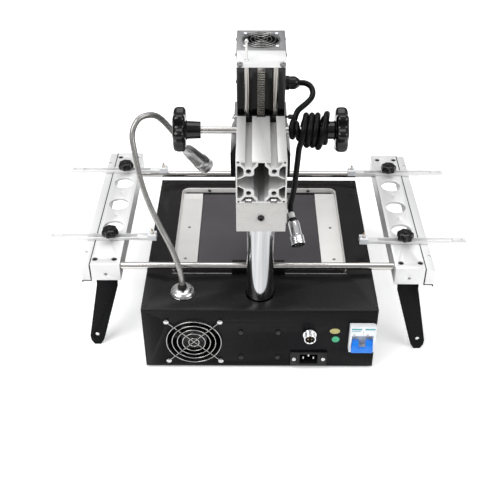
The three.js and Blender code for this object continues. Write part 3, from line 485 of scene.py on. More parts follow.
def cable_line():
    """Gland, loop, tight turns by the arm, two layers of turns on the shaft, then down to the plug."""
    def wound(x, r, angle):
        # From the front of the shaft (0) over its top (90 degrees) to its rear (180 degrees).
        lean = min(1.5, (r - 6) * 0.25) * math.cos(angle - 0.6)
        return Vector((x + lean, SHAFT.y + r * math.cos(angle), SHAFT.z + r * math.sin(angle)))

    stages = [  # turns, x to, radius to
        (0.25, 38.6, 8.3), (1.0, 45.4, 8.3), (0.5, 52, 11.8), (2.4, 69.2, 11.8), (0.6, 76.6, 15.3),
        (0.9, 83, 15.3), (0.4, 82.4, 20.6), (0.5, 74, 21.6), (0.45, 71, 18.8), (2.4, 53.4, 18.8),
    ]
    angle = math.pi - math.tau * (sum(share for share, x, r in stages) % 1)
    x, r = 40.5, 12
    line = smooth_line([(GLAND_OUT, GLAND.y, GLAND.z), (58, 164.6, 351.6), (64.5, 160, 349.5), (67, 151, 346),
                        (65, 141, 343), (58.5, 131, 340.5), (52, 125.5, 337.5), (46.4, 121, 333.4),
                        wound(x, r, angle)], 2)
    for share, to_x, to_r in stages:
        count = max(4, round(share * 36))
        for i in range(1, count + 1):
            t = i / count
            line.append(wound(x + (to_x - x) * t, r + (to_r - r) * t, angle + math.tau * share * t))
        angle += math.tau * share
        x, r = to_x, to_r
    return line + smooth_line([line[-1], *TAIL], 3)[1:]


CABLE = cable_line()


def add_cable():
    first_tail = CABLE.index(min(CABLE, key=lambda p: (p - Vector(TAIL[-1])).length))
    sleeve_way = (PLUG_TIP - Vector(TAIL[-1])).normalized()
    line = CABLE[:first_tail + 1] + [Vector(TAIL[-1]) + sleeve_way * d for d in (4, 8)]
    form = Shape().sweep(line, CABLE_R, 14)
    cable = form.done("head_cable", None, "cable_black", smooth=60, slot="rubber")
    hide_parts("cable_lead", "cable_coil", "cable_tail")
    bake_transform(cable)
    plug = add_plug(Vector(TAIL[-1]), sleeve_way)
    gland = add_gland()


def add_plug(start, way):
    """The connector on the cable's end: sleeve, collar, shell with a coupling ring, and its pins."""
    long = (PLUG_TIP - start).length
    ribs = [(4 + (0.12 if i % 2 else -0.12), 1.8 + i * 0.8) for i in range(10)]
    sleeve = Shape().lathe([(0, 0.8), (3.4, 0.8), *ribs, (4.2, 10), (0, 10)], place=start, aim=way)
    pieces = [sleeve.done("plug_sleeve", "arm", "white_sleeve", slot="white_plastic")]
    collar = Shape().lathe([(0, 9.6), (5.2, 9.6), (5.9, 10.4), (6.2, 13.4), (5.9, 14.6), (0, 14.6)],
                           place=start, aim=way)
    pieces.append(collar.done("plug_collar", "arm", "moulded_black", slot="black_plastic"))
    shell = [(0, 14.2), (6.4, 14.2), (7.3, 15.4), (7.7, 17.6), (7.7, long - 14), (7.2, long - 13.6),
             (7.2, long - 12.8), (8.8, long - 12.2), (9.4, long - 11.2)]
    ridges = []
    for i in range(4):
        h = long - 10.6 + i * 2.1
        ridges += [(9.5, h), (9.25, h + 0.6), (9.25, h + 1.1), (9.5, h + 1.6)]
    mouth = [(9.5, long - 1.4), (9.2, long - 0.6), (8.5, long - 0.6), (8.3, long - 1), (8.3, long - 4),
             (0, long - 4)]
    body = Shape().lathe(shell + ridges + mouth, place=start, aim=way)
    pieces.append(body.done("plug_shell", "arm", "chrome", replaces=("cable_plug",)))
    face = Shape().lathe([(0, long - 5), (8.2, long - 5), (8.2, long - 0.6), (7.6, long), (5.4, long),
                          (5, long - 1),
                          (0, long - 1)], place=start, aim=way, sides=48)
    pieces.append(face.done("plug_face", "arm", "bakelite", slot="black_plastic"))
    side = way.orthogonal().normalized()
    other = way.cross(side)
    pins = Shape()
    for i in range(4):
        a = math.pi / 4 + i * math.pi / 2
        root = start + way * (long - 2) + (side * math.cos(a) + other * math.sin(a)) * 3.7
        pins.rod(0.7, root, root + way * 2.1, 12, 0.25)
    pieces.append(pins.done("plug_pins", "arm", "screw_grey", slot="stainless"))
    return pieces


def add_gland():
    x = span("cable_gland")[0].x
    place = (0, GLAND.y, GLAND.z)
    nut = [(math.cos(i * math.pi / 3) * 9.2, math.sin(i * math.pi / 3) * 9.2) for i in range(6)]
    form = Shape().prism([(GLAND.y + a, GLAND.z + b) for a, b in nut], "x", x, x + 5)
    body = [(0, x + 4.5), (8.6, x + 4.5), (8.6, x + 5.6), (8, x + 6.2), (8, x + 13.2), (7.4, x + 14.6),
            (6, x + 16.8), (4.4, x + 18.6), (0, x + 18.6)]
    form.lathe(body, "x", place, 32)
    for i in range(16):
        a = math.tau * i / 16
        form.box(x + 6.4, x + 13, GLAND.y + 7.9 * math.cos(a) - 0.45, GLAND.y + 7.9 * math.cos(a) + 0.45,
                 GLAND.z + 7.9 * math.sin(a) - 0.45, GLAND.z + 7.9 * math.sin(a) + 0.45)
    return [form.done("gland_body", "head", "bakelite", 0.3, replaces=("cable_gland",))]


# ---- base case ----
def add_case():
    refined("base_tray", "case_black", 0.4)
    refined("deck_cover", "deck_black", 0.7, 3)
    refined("rear_panel", "case_black", 0.3)
    refined("control_panel", "silver_panel", 0.4)
    low, high = span("deck_cover")
    screws = Shape()
    for x, y in ((low.x + 4.7, 7), (high.x - 3.1, 8), (low.x + 6.7, 309), (high.x - 6.7, 309)):
        screws.screw((x, y, high.z), 2.6, "z", 1, 1.2)
    for y in (30, 195, 360):
        for x, out in ((low.x, -1), (high.x, 1)):
            screws.screw((x, y, low.z + 7), 2.6, "x", out, 1.3)
    for x in (-25, 25):
        for z in (21, 67):
            screws.screw((x, 0, z), 3.3, "y", -1, 2.2)
    screws.done("case_screws", "base", "screw_black", slot="black_paint")
    for name in ("foot_rear_left", "foot_rear_right", "foot_front_left", "foot_front_right"):
        a, b = span(name)
        c = (a + b) / 2
        profile = [(0, 0.9), (2.4, 0.9), (2.8, 0.3), (5.6, 0), (7.4, 0.1), (8, 0.7), (8.9, b.z), (0, b.z)]
        Shape().lathe(profile, place=(c.x, c.y, 0), sides=40).done(name + "_pad", "base", "rubber",
                                                                   replaces=(name,))
    for name, material, x, z, wide, tall in (("yellow_tag", "sticker_yellow", 101.2, 69.6, 6.9, 4.6),
                                              ("green_tag", "sticker_green", 103, 54.6, 5.2, 5.2)):
        turn = [math.tau * i / 48 for i in range(48)]
        oval = [(x + wide * math.cos(a), z + tall * math.sin(a)) for a in turn]
        Shape().prism(oval, "y", -0.4, 0.2).done(name, "base", material, 0.12)


def add_controls():
    """Instruments on the sloping panel. (across, down the slope, out of it) becomes a layout point."""
    low, high = span("control_panel")
    top = Vector((0, low.y, high.z + 0.4))
    down = (Vector((0, high.y, 22)) - top).normalized()
    out = down.cross(Vector((-1, 0, 0))).normalized()
    if out.z < 0:
        out.negate()
    tilt = Matrix((Vector((1, 0, 0)), down, out)).transposed().to_4x4()
    spot = Matrix.Translation(top) @ tilt

    def tilted(form, name, body, material, **more):
        bmesh.ops.transform(form.bm, matrix=spot, verts=form.bm.verts)
        return form.done(name, body, material, **more)

    refined("temperature_controller", "moulded_black", 0.8, 3)
    refined("probe_sockets", "yellow_plastic", 0.5)
    screens, digits, keys, frames = Shape(), Shape(), Shape(), Shape()
    for x in (58, 2):
        screens.box(x - 19.6, x + 19.6, 36.4, 59.6, 6.2, 7.1)
        for row, tall in ((39.5, 8), (50.5, 6)):
            for i in range(4):
                seven_bars(digits, x - 15.5 + i * 8.4, row, 4.6, tall)
        for i in range(4):
            keys.box(x - 17 + i * 9.4, x - 10.6 + i * 9.4, 64.4, 70, 7.6, 9.1)
    for a, b in ((-28.6, -27.4), (87.4, 88.6)):
        frames.box(a, b, 30.6, 77.4, 0.6, 6.4)
    tilted(screens, "controller_screens", "base", "screen", bevel=0.3, slot="black_plastic")
    tilted(digits, "controller_digits", "base", "red_digit")
    tilted(keys, "controller_keys", "base", "grey_paint", bevel=0.6)
    tilted(frames, "controller_edges", "base", "anodised_black", bevel=0.3, slot="black_plastic")
    pins = Shape()
    for x in (56, 86):
        for a in (4.5, 13.5):
            pins.box(x + a - 2.2, x + a + 2.2, 91.2, 92.8, 1.4, 2.1)
        pins.lathe([(0, 3.8), (2, 3.8), (2, 4.5), (1.2, 4.9), (0, 4.9)], place=(x + 9, 86.2, 0), sides=20)
    tilted(pins, "probe_contacts", "base", "brass", bevel=0.1)
    c = (-76, 54, 0)
    cap = [(0, -6), (5.5, -6), (5.5, 4), (5.6, 6.4), (5.2, 7.8), (4.2, 8.2), (3.6, 7.7), (0, 7.5)]
    tilted(Shape().lathe(cap, place=c, sides=48), "button_cap", "button", "blue_plastic",
           replaces=("start_button",))
    ring = [(5.9, 0), (9.4, 0), (9.4, 1), (8.6, 1.9), (6.4, 2.2), (5.9, 1.7), (5.9, 0)]
    tilted(Shape().lathe(ring, place=c, sides=48), "button_ring", "base", "chrome", slot="chrome")


def seven_bars(form, x, y, wide, tall):
    """One seven-bar digit with every bar lit, on the panel's slope."""
    t, z0, z1 = 0.8, 7.0, 7.25
    for row in (0, tall / 2 - t / 2, tall - t):
        form.box(x + t * 0.6, x + wide - t * 0.6, y + row, y + row + t, z0, z1)
    for side in (0, wide - t):
        form.box(x + side, x + side + t, y + 0.5, y + tall / 2 - 0.4, z0, z1)
        form.box(x + side, x + side + t, y + tall / 2 + 0.4, y + tall - 0.5, z0, z1)


def add_heater_bed():
    refined("heater_tray", "tray_steel", 0.5)
    refined("heater_panel", "heater_glass", 0.6, 3)
    low, high = span("heater_tray")
    end = span("heater_panel")[1].y + 0.6
    far, near = high.y - 7, low.y + 10
    # Two black strips across the tray, one at its far end and one along its near wall, are painted shade:
    # they darken bands of the tray that lie in shade.
    shade_strips = Shape().box(-118, 118, far - 7, far, 93.6, 98.4).box(-118, 118, near, 101.6, 93.6, 102.4)
    shade_strips.done("tray_painted_shade", "base", "case_black", 0.5, slot="heater_black")
    ledge = Shape()
    for side in (-1, 1):
        ledge.box(*sorted((side * 89, side * 120)), end - 2, far - 7.4, 94, 100.8)
    ledge.done("tray_ledges", "base", "tray_steel", 0.3, slot="stainless")
    Shape().box(-88, 88, end, far - 7.4, 93.6, 99).done("panel_border", "base", "heater_glass", 0.3,
                                                       slot="heater_black")
    wall = Shape()
    for x in (-79, 79):
        wall.screw((x, high.y - 6.3, 101.6), 2.6, "y", -1, 1.5)
    wall.done("tray_wall_screws", "base", "screw_grey", slot="stainless")
    flush = Shape()
    for x, y in ((-105, 193.5), (-106, 117), (107, 193), (107, 116)):
        flush.screw((x, y, 101), 2.3, "z", 1, 0.6, "hex")
    flush.done("tray_strip_screws", "base", "screw_grey", slot="stainless")
    rim = Shape()
    for a, b in ((-121, -38.5), (35.5, 121)):
        rim.rod(0.7, (a, 75.6, 107.4), (b, 75.6, 107.4), 12, 0.2)
    rim.done("tray_rim", "base", "stainless", slot="stainless")
    keep("column_socket", "milled_grey")
    keep("control_board", "board_green")


def keep(node, material):
    """A CAD node whose plain shape stays, in a better finish."""
    thing = frame["nodes"][node]
    thing.data.materials.clear()
    thing.data.materials.append(M[material])


# ---- fans ----
def fan_frame(name, body, centre, axis, inward, half, corner, mouth, depth, screw, node):
    """A square fan housing with a round mouth, built on its own axis then turned. inward is +1 or -1."""
    form = Shape()
    bm = form.bm
    steps = 96
    levels = [(0, mouth + 0.9, half - 0.7), (0.8, mouth, half), (depth - 0.8, mouth, half),
              (depth, mouth + 0.9, half - 0.7)]
    rows = []
    for h, r, side in levels:
        inner, outer = [], []
        for i in range(steps):
            a = math.tau * i / steps
            c, s = math.cos(a), math.sin(a)
            inner.append(bm.verts.new((r * c, r * s, h)))
            reach = min(side / max(abs(c), abs(s)), (side * math.sqrt(2) - corner * 0.5) / (abs(c) + abs(s))
                        * math.sqrt(2))
            outer.append(bm.verts.new((reach * c, reach * s, h)))
        rows.append((inner, outer))
    for i in range(steps):
        j = (i + 1) % steps
        for (in0, out0), (in1, out1) in zip(rows, rows[1:]):
            bm.faces.new([in0[i], in0[j], in1[j], in1[i]])
            bm.faces.new([out0[i], out1[i], out1[j], out0[j]])
        bm.faces.new([rows[0][0][i], rows[0][1][i], rows[0][1][j], rows[0][0][j]])
        bm.faces.new([rows[-1][0][i], rows[-1][0][j], rows[-1][1][j], rows[-1][1][i]])
    hub = half * 0.4
    form.lathe([(0, depth - 3), (hub, depth - 3), (hub, depth - 0.6), (hub - 0.6, depth), (0, depth)],
               sides=48)
    for i in range(3):
        a = math.radians(120 * i + 30)
        form.rod(1.5, (hub * 0.9 * math.cos(a), hub * 0.9 * math.sin(a), depth - 1.7),
                 ((mouth + 1) * math.cos(a), (mouth + 1) * math.sin(a), depth - 1.7), 10, 0.1)
    bmesh.ops.transform(bm, matrix=fan_turn(centre, axis, inward), verts=bm.verts)
    return form.done(name, body, "moulded_black", replaces=(node,))


def fan_turn(centre, axis, inward):
    way = {"y": Vector((0, 1, 0)), "z": Vector((0, 0, 1))}[axis] * inward
    side = Vector((1, 0, 0))
    up = way.cross(side)
    return Matrix.Translation(centre) @ Matrix((side, up, way)).transposed().to_4x4()


def fan_rotor(name, body, centre, axis, inward, half, tip, depth, node):
    """Seven pitched, swept blades round a domed hub."""
    form = Shape()
    hub = half * 0.44
    form.lathe([(0, 1.2), (hub * 0.3, 1.2), (hub - 1.6, 1.4), (hub - 0.4, 2), (hub, 3.2), (hub, depth - 3.6),
                (0, depth - 3.6)], sides=64)
    blades, spans, chords = 7, 8, 8
    for n in range(blades):
        grid = []
        for i in range(spans + 1):
            t = i / spans
            r = hub - 0.6 + (tip - hub + 0.6) * t
            wide = (0.62 + 0.2 * t) * math.tau / blades
            row = []
            for j in range(chords + 1):
                u = j / chords
                a = math.tau * n / blades + (u - 0.5) * wide - 0.35 * t * t
                h = 2.6 + (depth - 7.4) * (u + 0.16 * math.sin(math.pi * u)) / 1.08 * (1 - 0.12 * t)
                row.append((r * math.cos(a), r * math.sin(a), h))
            grid.append(row)
        thick = 1.1 if half > 30 else 0.7
        low = [[form.bm.verts.new(p) for p in row] for row in grid]
        high = [[form.bm.verts.new((x, y, z + thick)) for x, y, z in row] for row in grid]
        for i in range(spans):
            for j in range(chords):
                form.bm.faces.new([low[i][j], low[i][j + 1], low[i + 1][j + 1], low[i + 1][j]])
                form.bm.faces.new([high[i][j], high[i + 1][j], high[i + 1][j + 1], high[i][j + 1]])
        rim = ([(0, j) for j in range(chords)] + [(i, chords) for i in range(spans)]
               + [(spans, j) for j in range(chords, 0, -1)] + [(i, 0) for i in range(spans, 0, -1)])
        for (i0, j0), (i1, j1) in zip(rim, rim[1:] + rim[:1]):
            form.bm.faces.new([low[i0][j0], high[i0][j0], high[i1][j1], low[i1][j1]])
    bmesh.ops.transform(form.bm, matrix=fan_turn(centre, axis, inward), verts=form.bm.verts)
    form.done(name, body, "moulded_black", replaces=(node,))
    label = Shape().lathe([(0, 0.7), (hub * 0.78, 0.7), (hub * 0.8, 1.15), (0, 1.25)], sides=48)
    bmesh.ops.transform(label.bm, matrix=fan_turn(centre, axis, inward), verts=label.bm.verts)
    label.done(name + "_cap", body, "anodised_black", slot="black_plastic")


def fan_guard(name, body, centre, axis, inward, rings, reach, screw, wire, screw_material, dome):
    """Wire rings and a cross, held by a screw at each corner. The rear guard's wires are bright; the head
    guard's take a darker copy of the same metal, painted shade.
    """
    form = Shape()
    for r in rings:
        form.ring((0, 0, -reach), r, wire, "z", 72, 10)
    for a in (45, 135):
        a = math.radians(a)
        far = Vector((math.cos(a), math.sin(a), 0)) * screw * math.sqrt(2)
        lift = Vector((0, 0, -reach + wire * 1.7))
        form.rod(wire, -far + lift, far + lift, 12, 0.1)
    for dx in (-screw, screw):
        for dy in (-screw, screw):
            form.ring((dx, dy, -reach + wire * 1.7), 3.1 if dome > 2.5 else 2.2, wire, "z", 28, 8)
    bmesh.ops.transform(form.bm, matrix=fan_turn(centre, axis, inward), verts=form.bm.verts)
    # The head guard (smaller screw domes) takes the darker, painted-shade copy of the wire.
    form.done(name, body, "guard_wire" if dome > 2.5 else "guard_wire_shaded", slot="chrome")
    bolts = Shape()
    for dx in (-screw, screw):
        for dy in (-screw, screw):
            bolts.rod(1.6, (dx, dy, -reach + 1), (dx, dy, 2), 16, 0.1)
            bolts.lathe([(0, 1.4 - reach), (dome, 1.4 - reach), (dome, 0.4 - reach),
                         (dome * 0.8, -0.3 - reach),
                         (dome * 0.4, -0.7 - reach), (0, -0.7 - reach)], place=(dx, dy, 0), sides=24)
    bmesh.ops.transform(bolts.bm, matrix=fan_turn(centre, axis, inward), verts=bolts.bm.verts)
    bolts.done(name + "_screws", body, screw_material)


def add_fans():
    low, high = span("rear_fan_frame")
    rear = Vector(((low.x + high.x) / 2, 2.2, (low.z + high.z) / 2))
    fan_frame("rear_fan_housing", "base", rear, "y", 1, 40, 8, 37.4, 25, 35.75, "rear_fan_frame")
    fan_rotor("rear_fan_blades", "rear_rotor", rear, "y", 1, 40, 36.3, 25, "rear_fan_rotor")
    fan_guard("rear_fan_guard", "base", rear, "y", 1, (37, 29.5, 22.4, 15.4, 7), 4.4, 35.75, 0.62,
              "screw_steel", 3.6)
    low, high = span("head_fan_frame")
    head = Vector(((low.x + high.x) / 2, (low.y + high.y) / 2, HOUSING_TOP - 1.8))
    fan_frame("head_fan_housing", "head", head, "z", -1, 25, 5, 22.9, 12, 20, "head_fan_frame")
    fan_rotor("head_fan_blades", "head_rotor", head, "z", -1, 25, 22, 12, "head_fan_rotor")
    fan_guard("head_fan_guard", "head", head, "z", -1, (23.5, 18.5, 13.5, 8), 3.2, 20, 0.6, "white_plastic",
              2.4)


HOUSING_TOP = span("head_housing")[1].z


# ---- rear connections ----
def add_connections():
    refined("power_inlet", "moulded_black", 0.6, 3)
    c = middle("power_inlet")
    pins = Shape()
    for x, z in ((-7, -1.5), (7, -1.5), (0, 3)):
        pins.box(c.x + x - 1.1, c.x + x + 1.1, 1, 13.5, c.z + z - 2.3, c.z + z + 2.3)
    pins.done("inlet_pins", "base", "screw_steel", 0.5, slot="chrome")
    screws = Shape()
    for x in (-20, 20):
        screws.screw((c.x + x, -3, c.z), 3, "y", -1, 1.6)
    screws.done("inlet_screws", "base", "screw_steel", slot="chrome")
    add_socket()
    refined("breaker_body", "white_plastic", 0.6, 3)
    low, high = span("breaker_body")
    toggle = Shape()
    grip = [(-8.6, 57.6), (-5, 59.6), (-2.4, 57.2), (-5, 52.6), (-9.2, 46), (-9.6, 41.6), (-12.4, 41.2),
            (-13.2, 42.4), (-13, 48), (-10.6, 55)]
    for a, b in ((low.x + 3.4, low.x + 12.8), (high.x - 12.8, high.x - 3.4)):
        toggle.prism(grip, "x", a, b)
    tie = [(-9.4, 49.8), (-9.8, 41.4), (-12.5, 41), (-13.3, 42.2), (-13.1, 47.6), (-12.2, 50)]
    toggle.prism(tie, "x", low.x + 3, high.x - 3)
    toggle.done("breaker_grip", "breaker_switch", "blue_plastic", 0.6, 3, replaces=("breaker_toggle",))
    strip = Shape()
    for a, b in ((low.x + 1.8, low.x + 15.4), (low.x + 19.6, high.x - 1.8)):
        strip.box(a, b, low.y - 0.12, low.y + 0.4, high.z - 4.4, high.z - 1.6)
    strip.box(low.x + 1.8, low.x + 14, low.y - 0.12, low.y + 0.4, high.z - 7.2, high.z - 6)
    strip.done("breaker_strip", "base", "teal_plastic", 0.1, slot="blue_plastic")
    marks = Shape()
    mid = (low.x + high.x) / 2
    marks.box(mid - 0.2, mid + 0.2, low.y - 0.1, low.y + 0.3, high.z - 20, high.z - 6)
    for x in (low.x + 4, low.x + 21.8):
        marks.box(x, x + 3.2, low.y - 0.12, low.y + 0.3, high.z - 13.6, high.z - 12.2)
    marks.done("breaker_marks", "base", "grey_paint")


def add_socket():
    c = middle("cable_socket")
    place = (c.x, 0, c.z)
    profile = [(0, 1), (6.2, 1), (6.2, -11.4), (6.7, -12), (7.5, -12)]
    for i in range(6):
        y = -11.4 + i * 1.1
        profile += [(8, y), (7.4, y + 0.55)]
    profile += [(8, -4.7), (8, -3.4), (8, -0.3), (0, -0.3)]
    form = Shape().lathe(profile, "y", place, 64)
    form.lathe([(8, -3.4), (9, -3.2), (9.4, -2.4), (9.4, -0.9), (9, -0.4), (8, -0.4), (8, -3.4)], "y",
               place, 64)
    form.lathe([(0, 0.4), (8, 0.4), (8, 14), (0, 14)], "y", place, 32)
    form.done("socket_shell", "base", "chrome", 0.25, replaces=("cable_socket",))
    core = Shape().lathe([(0, 0), (6.15, 0), (6.15, -5.6), (5.8, -6), (0, -6)], "y", place, 40)
    core.done("socket_core", "base", "moulded_black", slot="black_plastic")
    pins = Shape()
    for i in range(4):
        a = math.pi / 4 + i * math.pi / 2
        x, z = c.x + 3.4 * math.cos(a), c.z + 3.4 * math.sin(a)
        pins.rod(0.8, (x, -5.5, z), (x, -9, z), 14, 0.25)
    pins.done("socket_pins", "base", "brass")


# ---- lamp ----
NECK = [(-103.6, 34.5, 121.4), (-104.2, 35, 134), (-108, 39, 152), (-117, 46, 177), (-131, 56, 204),
        (-144, 66, 234), (-153, 76, 264), (-158.5, 87, 293), (-161, 98, 314), (-154, 108, 328),
        (-143, 117, 330), (-131, 128, 322), (-117, 141, 297), (-103.6, 151, 266)]
LAMP_TIP = Vector((-74, 171, 222))


def add_lamp():
    c = middle("lamp_flange")
    top = span("lamp_flange")[0].z
    place = (c.x, c.y, 0)
    curve = [math.radians(6 * i) for i in range(14)]
    dome = [(0, top), (16.4, top), (17, top + 0.5), (17, top + 1.4),
            *((7 + 9.8 * math.cos(a), top + 1.6 + 6.6 * math.sin(a)) for a in curve), (6.6, top + 8.4),
            (0, top + 8.4)]
    Shape().lathe(dome, place=place, sides=72).done("lamp_base", "base", "soft_chrome",
                                                    replaces=("lamp_flange",))
    collar = [(0, top + 8), (6.2, top + 8), (6.4, top + 9), (5.6, top + 12.6), (4.6, top + 13.4),
              (0, top + 13.4)]
    Shape().lathe(collar, place=place, sides=48).done("lamp_collar", "base", "moulded_black",
                                                      slot="black_plastic")
    line = smooth_line(NECK, 0.95)
    neck = Shape().sweep(line, lambda i: 3.9 if i % 2 else 3.35, 20)
    neck.done("lamp_stem", "lamp", "corrugated", smooth=75, replaces=("lamp_neck",))
    start = Vector(NECK[-1])
    way = (LAMP_TIP - start).normalized()
    long = (LAMP_TIP - start).length
    shell = [(0, 0.6), (4, 0.6), (4.6, 1), (4.8, 4.8), (6, 7), (7.7, 10), (8.8, 16), (10.1, long - 19),
             (10.4, long - 17.4), (11, long - 16.8), (11.2, long - 16), (11.2, long - 9),
             (10.7, long - 8.7), (10.7, long - 7.9), (11.2, long - 7.6), (11.2, long - 0.5), (10.7, long),
             (9.8, long), (9.4, long - 4), (0, long - 4)]
    Shape().lathe(shell, place=start, sides=64, aim=way).done("lamp_shell", "lamp", "lamp_metal",
                                                             replaces=("lamp_head",))
    lens = [(0, long - 4.4), (9.3, long - 4.4), (9.3, long - 2.6), (7.4, long - 1.7), (3.6, long - 1.1),
            (0, long - 1)]
    Shape().lathe(lens, place=start, sides=48, aim=way).done("lamp_lens", "lamp", "white_plastic",
                                                            slot="white_plastic")


# ---- column and arm ----
def add_column():
    low, high = span("column_post")
    c = middle("column_post")
    r = (high.x - low.x) / 2
    post = [(0, low.z), (r - 0.8, low.z), (r, low.z + 0.8), (r, high.z - 1), (r - 1, high.z), (0, high.z)]
    Shape().lathe(post, place=(c.x, c.y, 0), sides=128).done("post_tube", "base", "post_chrome",
                                                            replaces=("column_post",))
    low, high = span("column_block")
    refined("column_block", "milled_grey", 0.6, 2)
    mid = middle("column_block")
    plug = Shape().lathe([(0, 9), (3.6, 9), (3.6, 1.8), (3, 1.2), (1.7, 1.2), (1.7, 3.4), (0, 3.4)], "y",
                         (mid.x, 0, mid.z - 1), 32)
    plug.done("block_set_screw", "arm", "screw_black", slot="black_plastic")
    plate = Shape().box(high.x - 0.2, high.x + 1.7, 12, 52, low.z + 6, high.z - 10)
    plate.screw((high.x + 1.7, 20, mid.z - 2), 2.6, "x", 1, 1.5)
    plate.screw((high.x + 1.7, 44, mid.z - 2), 2.6, "x", 1, 1.5)
    plate.done("block_side_plate", "arm", "milled_grey", 0.4, slot="grey_aluminium")
    refined("arm_profile", "extrusion", 0.35, 2)
    refined("slide_bearing", "anodised_black", 0.4)
    add_arm_fittings()


def add_arm_fittings():
    low = span("arm_profile")[0]
    mid = middle("arm_profile")
    nuts = Shape()
    for x in (-15, 15):
        for y in (11, 46):
            nuts.box(mid.x + x - 3.6, mid.x + x + 3.6, y - 6, y + 6, low.z + 1.2, low.z + 4.6)
    nuts.done("slot_nuts", "arm", "screw_steel", 0.5, slot="stainless")
    # Black rods inside the arm's four core bores are painted shade: they darken the deep holes.
    bore_shade = Shape()
    for x in (-15, 15):
        for z in (-14.5, 14.5):
            bore_shade.rod(3.1, (mid.x + x, low.y + 3, mid.z + z), (mid.x + x, low.y + 22, mid.z + z), 24, 0.3)
    bore_shade.done("arm_bore_shade", "arm", "hole_shade_black", slot="black_plastic")
    bearing = span("slide_bearing")
    y, z = (bearing[0].y + bearing[1].y) / 2, 329.4
    tip = [(0, 0), (1.3, 0), (1.3, 3.4), (2.3, 3.6), (2.7, 4.4), (2.7, 7.2), (2.2, 8), (1.2, 8),
           (1.2, 6.8), (0, 6.8)]
    gib = Shape().lathe(tip, place=(bearing[0].x + 0.4, y, z), sides=28, aim=(-1, 0, 0))
    gib.screw((bearing[0].x, y, low.z + 12), 2.4, "x", -1, 1.6, "hex")
    gib.screw((bearing[1].x, y, low.z + 12), 2.4, "x", 1, 1.6, "hex")
    gib.done("gib_screws", "arm", "screw_steel", slot="stainless")
    x = bearing[1].x
    knob = [(0, x - 0.5), (1.5, x - 0.5), (1.5, x + 4.6), (2.6, x + 4.9), (3, x + 5.6), (3, x + 10),
            (2.6, x + 10.8), (0, x + 10.8)]
    lock = Shape().lathe(knob, "x", (0, y, z), 60, lobes=(15, 0.35, 2.2, 3))
    lock.done("slide_lock_knob", "arm", "bakelite", slot="black_plastic")


def add_drive():
    low, high = span("pinion_shaft")
    mid = middle("arm_profile")
    c = SHAFT
    r, gear_half, teeth = 4.4, 4, 16
    profile = [(0, low.x), (r - 0.6, low.x), (r, low.x + 0.6), (r, high.x - 0.6), (r - 0.6, high.x),
               (0, high.x)]
    form = Shape().lathe(profile, "x", (0, c.y, c.z), 64)
    outline = []
    for i in range(teeth):
        a = math.tau * (i + 0.5) / teeth
        for radius, half in ((6.75, -0.95), (8.6, -0.4), (8.9, -0.25), (8.9, 0.25), (8.6, 0.4), (6.75, 0.95)):
            b = a + half / radius
            outline.append((c.y + radius * math.cos(b), c.z + radius * math.sin(b)))
    form.prism(outline, "x", mid.x - gear_half, mid.x + gear_half)
    form.done("drive_shaft", "drive", "gear_steel", 0.15, replaces=("pinion_shaft",))
    for name, side in (("handwheel_left", 1), ("handwheel_right", -1)):
        wheel = [(0, 75), (10, 75), (10.6, 75.6), (11.4, 92), (12.6, 93.2), (19, 93.4), (25.4, 94),
                 (27.8, 95.4), (28.7, 97.6), (28.9, 101), (28.7, 104.4), (27.8, 106.9), (25.6, 108.6),
                 (22, 109.3), (19, 108.9), (17.2, 107.2), (16, 105.4), (13.6, 105), (7, 105), (0, 105)]
        form = Shape().lathe([(r, side * h) for r, h in wheel], "x", (0, c.y, c.z), 140,
                             lobes=(7, 5.0, 16.5, 26.5))
        form.done(name + "_grip", "drive", "bakelite", replaces=(name,))
        cap = [(0, 104.6), (5.4, 104.6), (5.4, 105.6), (4.8, 106.2), (1.8, 106.2), (1.8, 105.2), (0, 105.2)]
        form = Shape().lathe([(r, side * h) for r, h in cap], "x", (0, c.y, c.z), 40)
        form.done(name + "_insert", "drive", "gear_steel", slot="stainless")


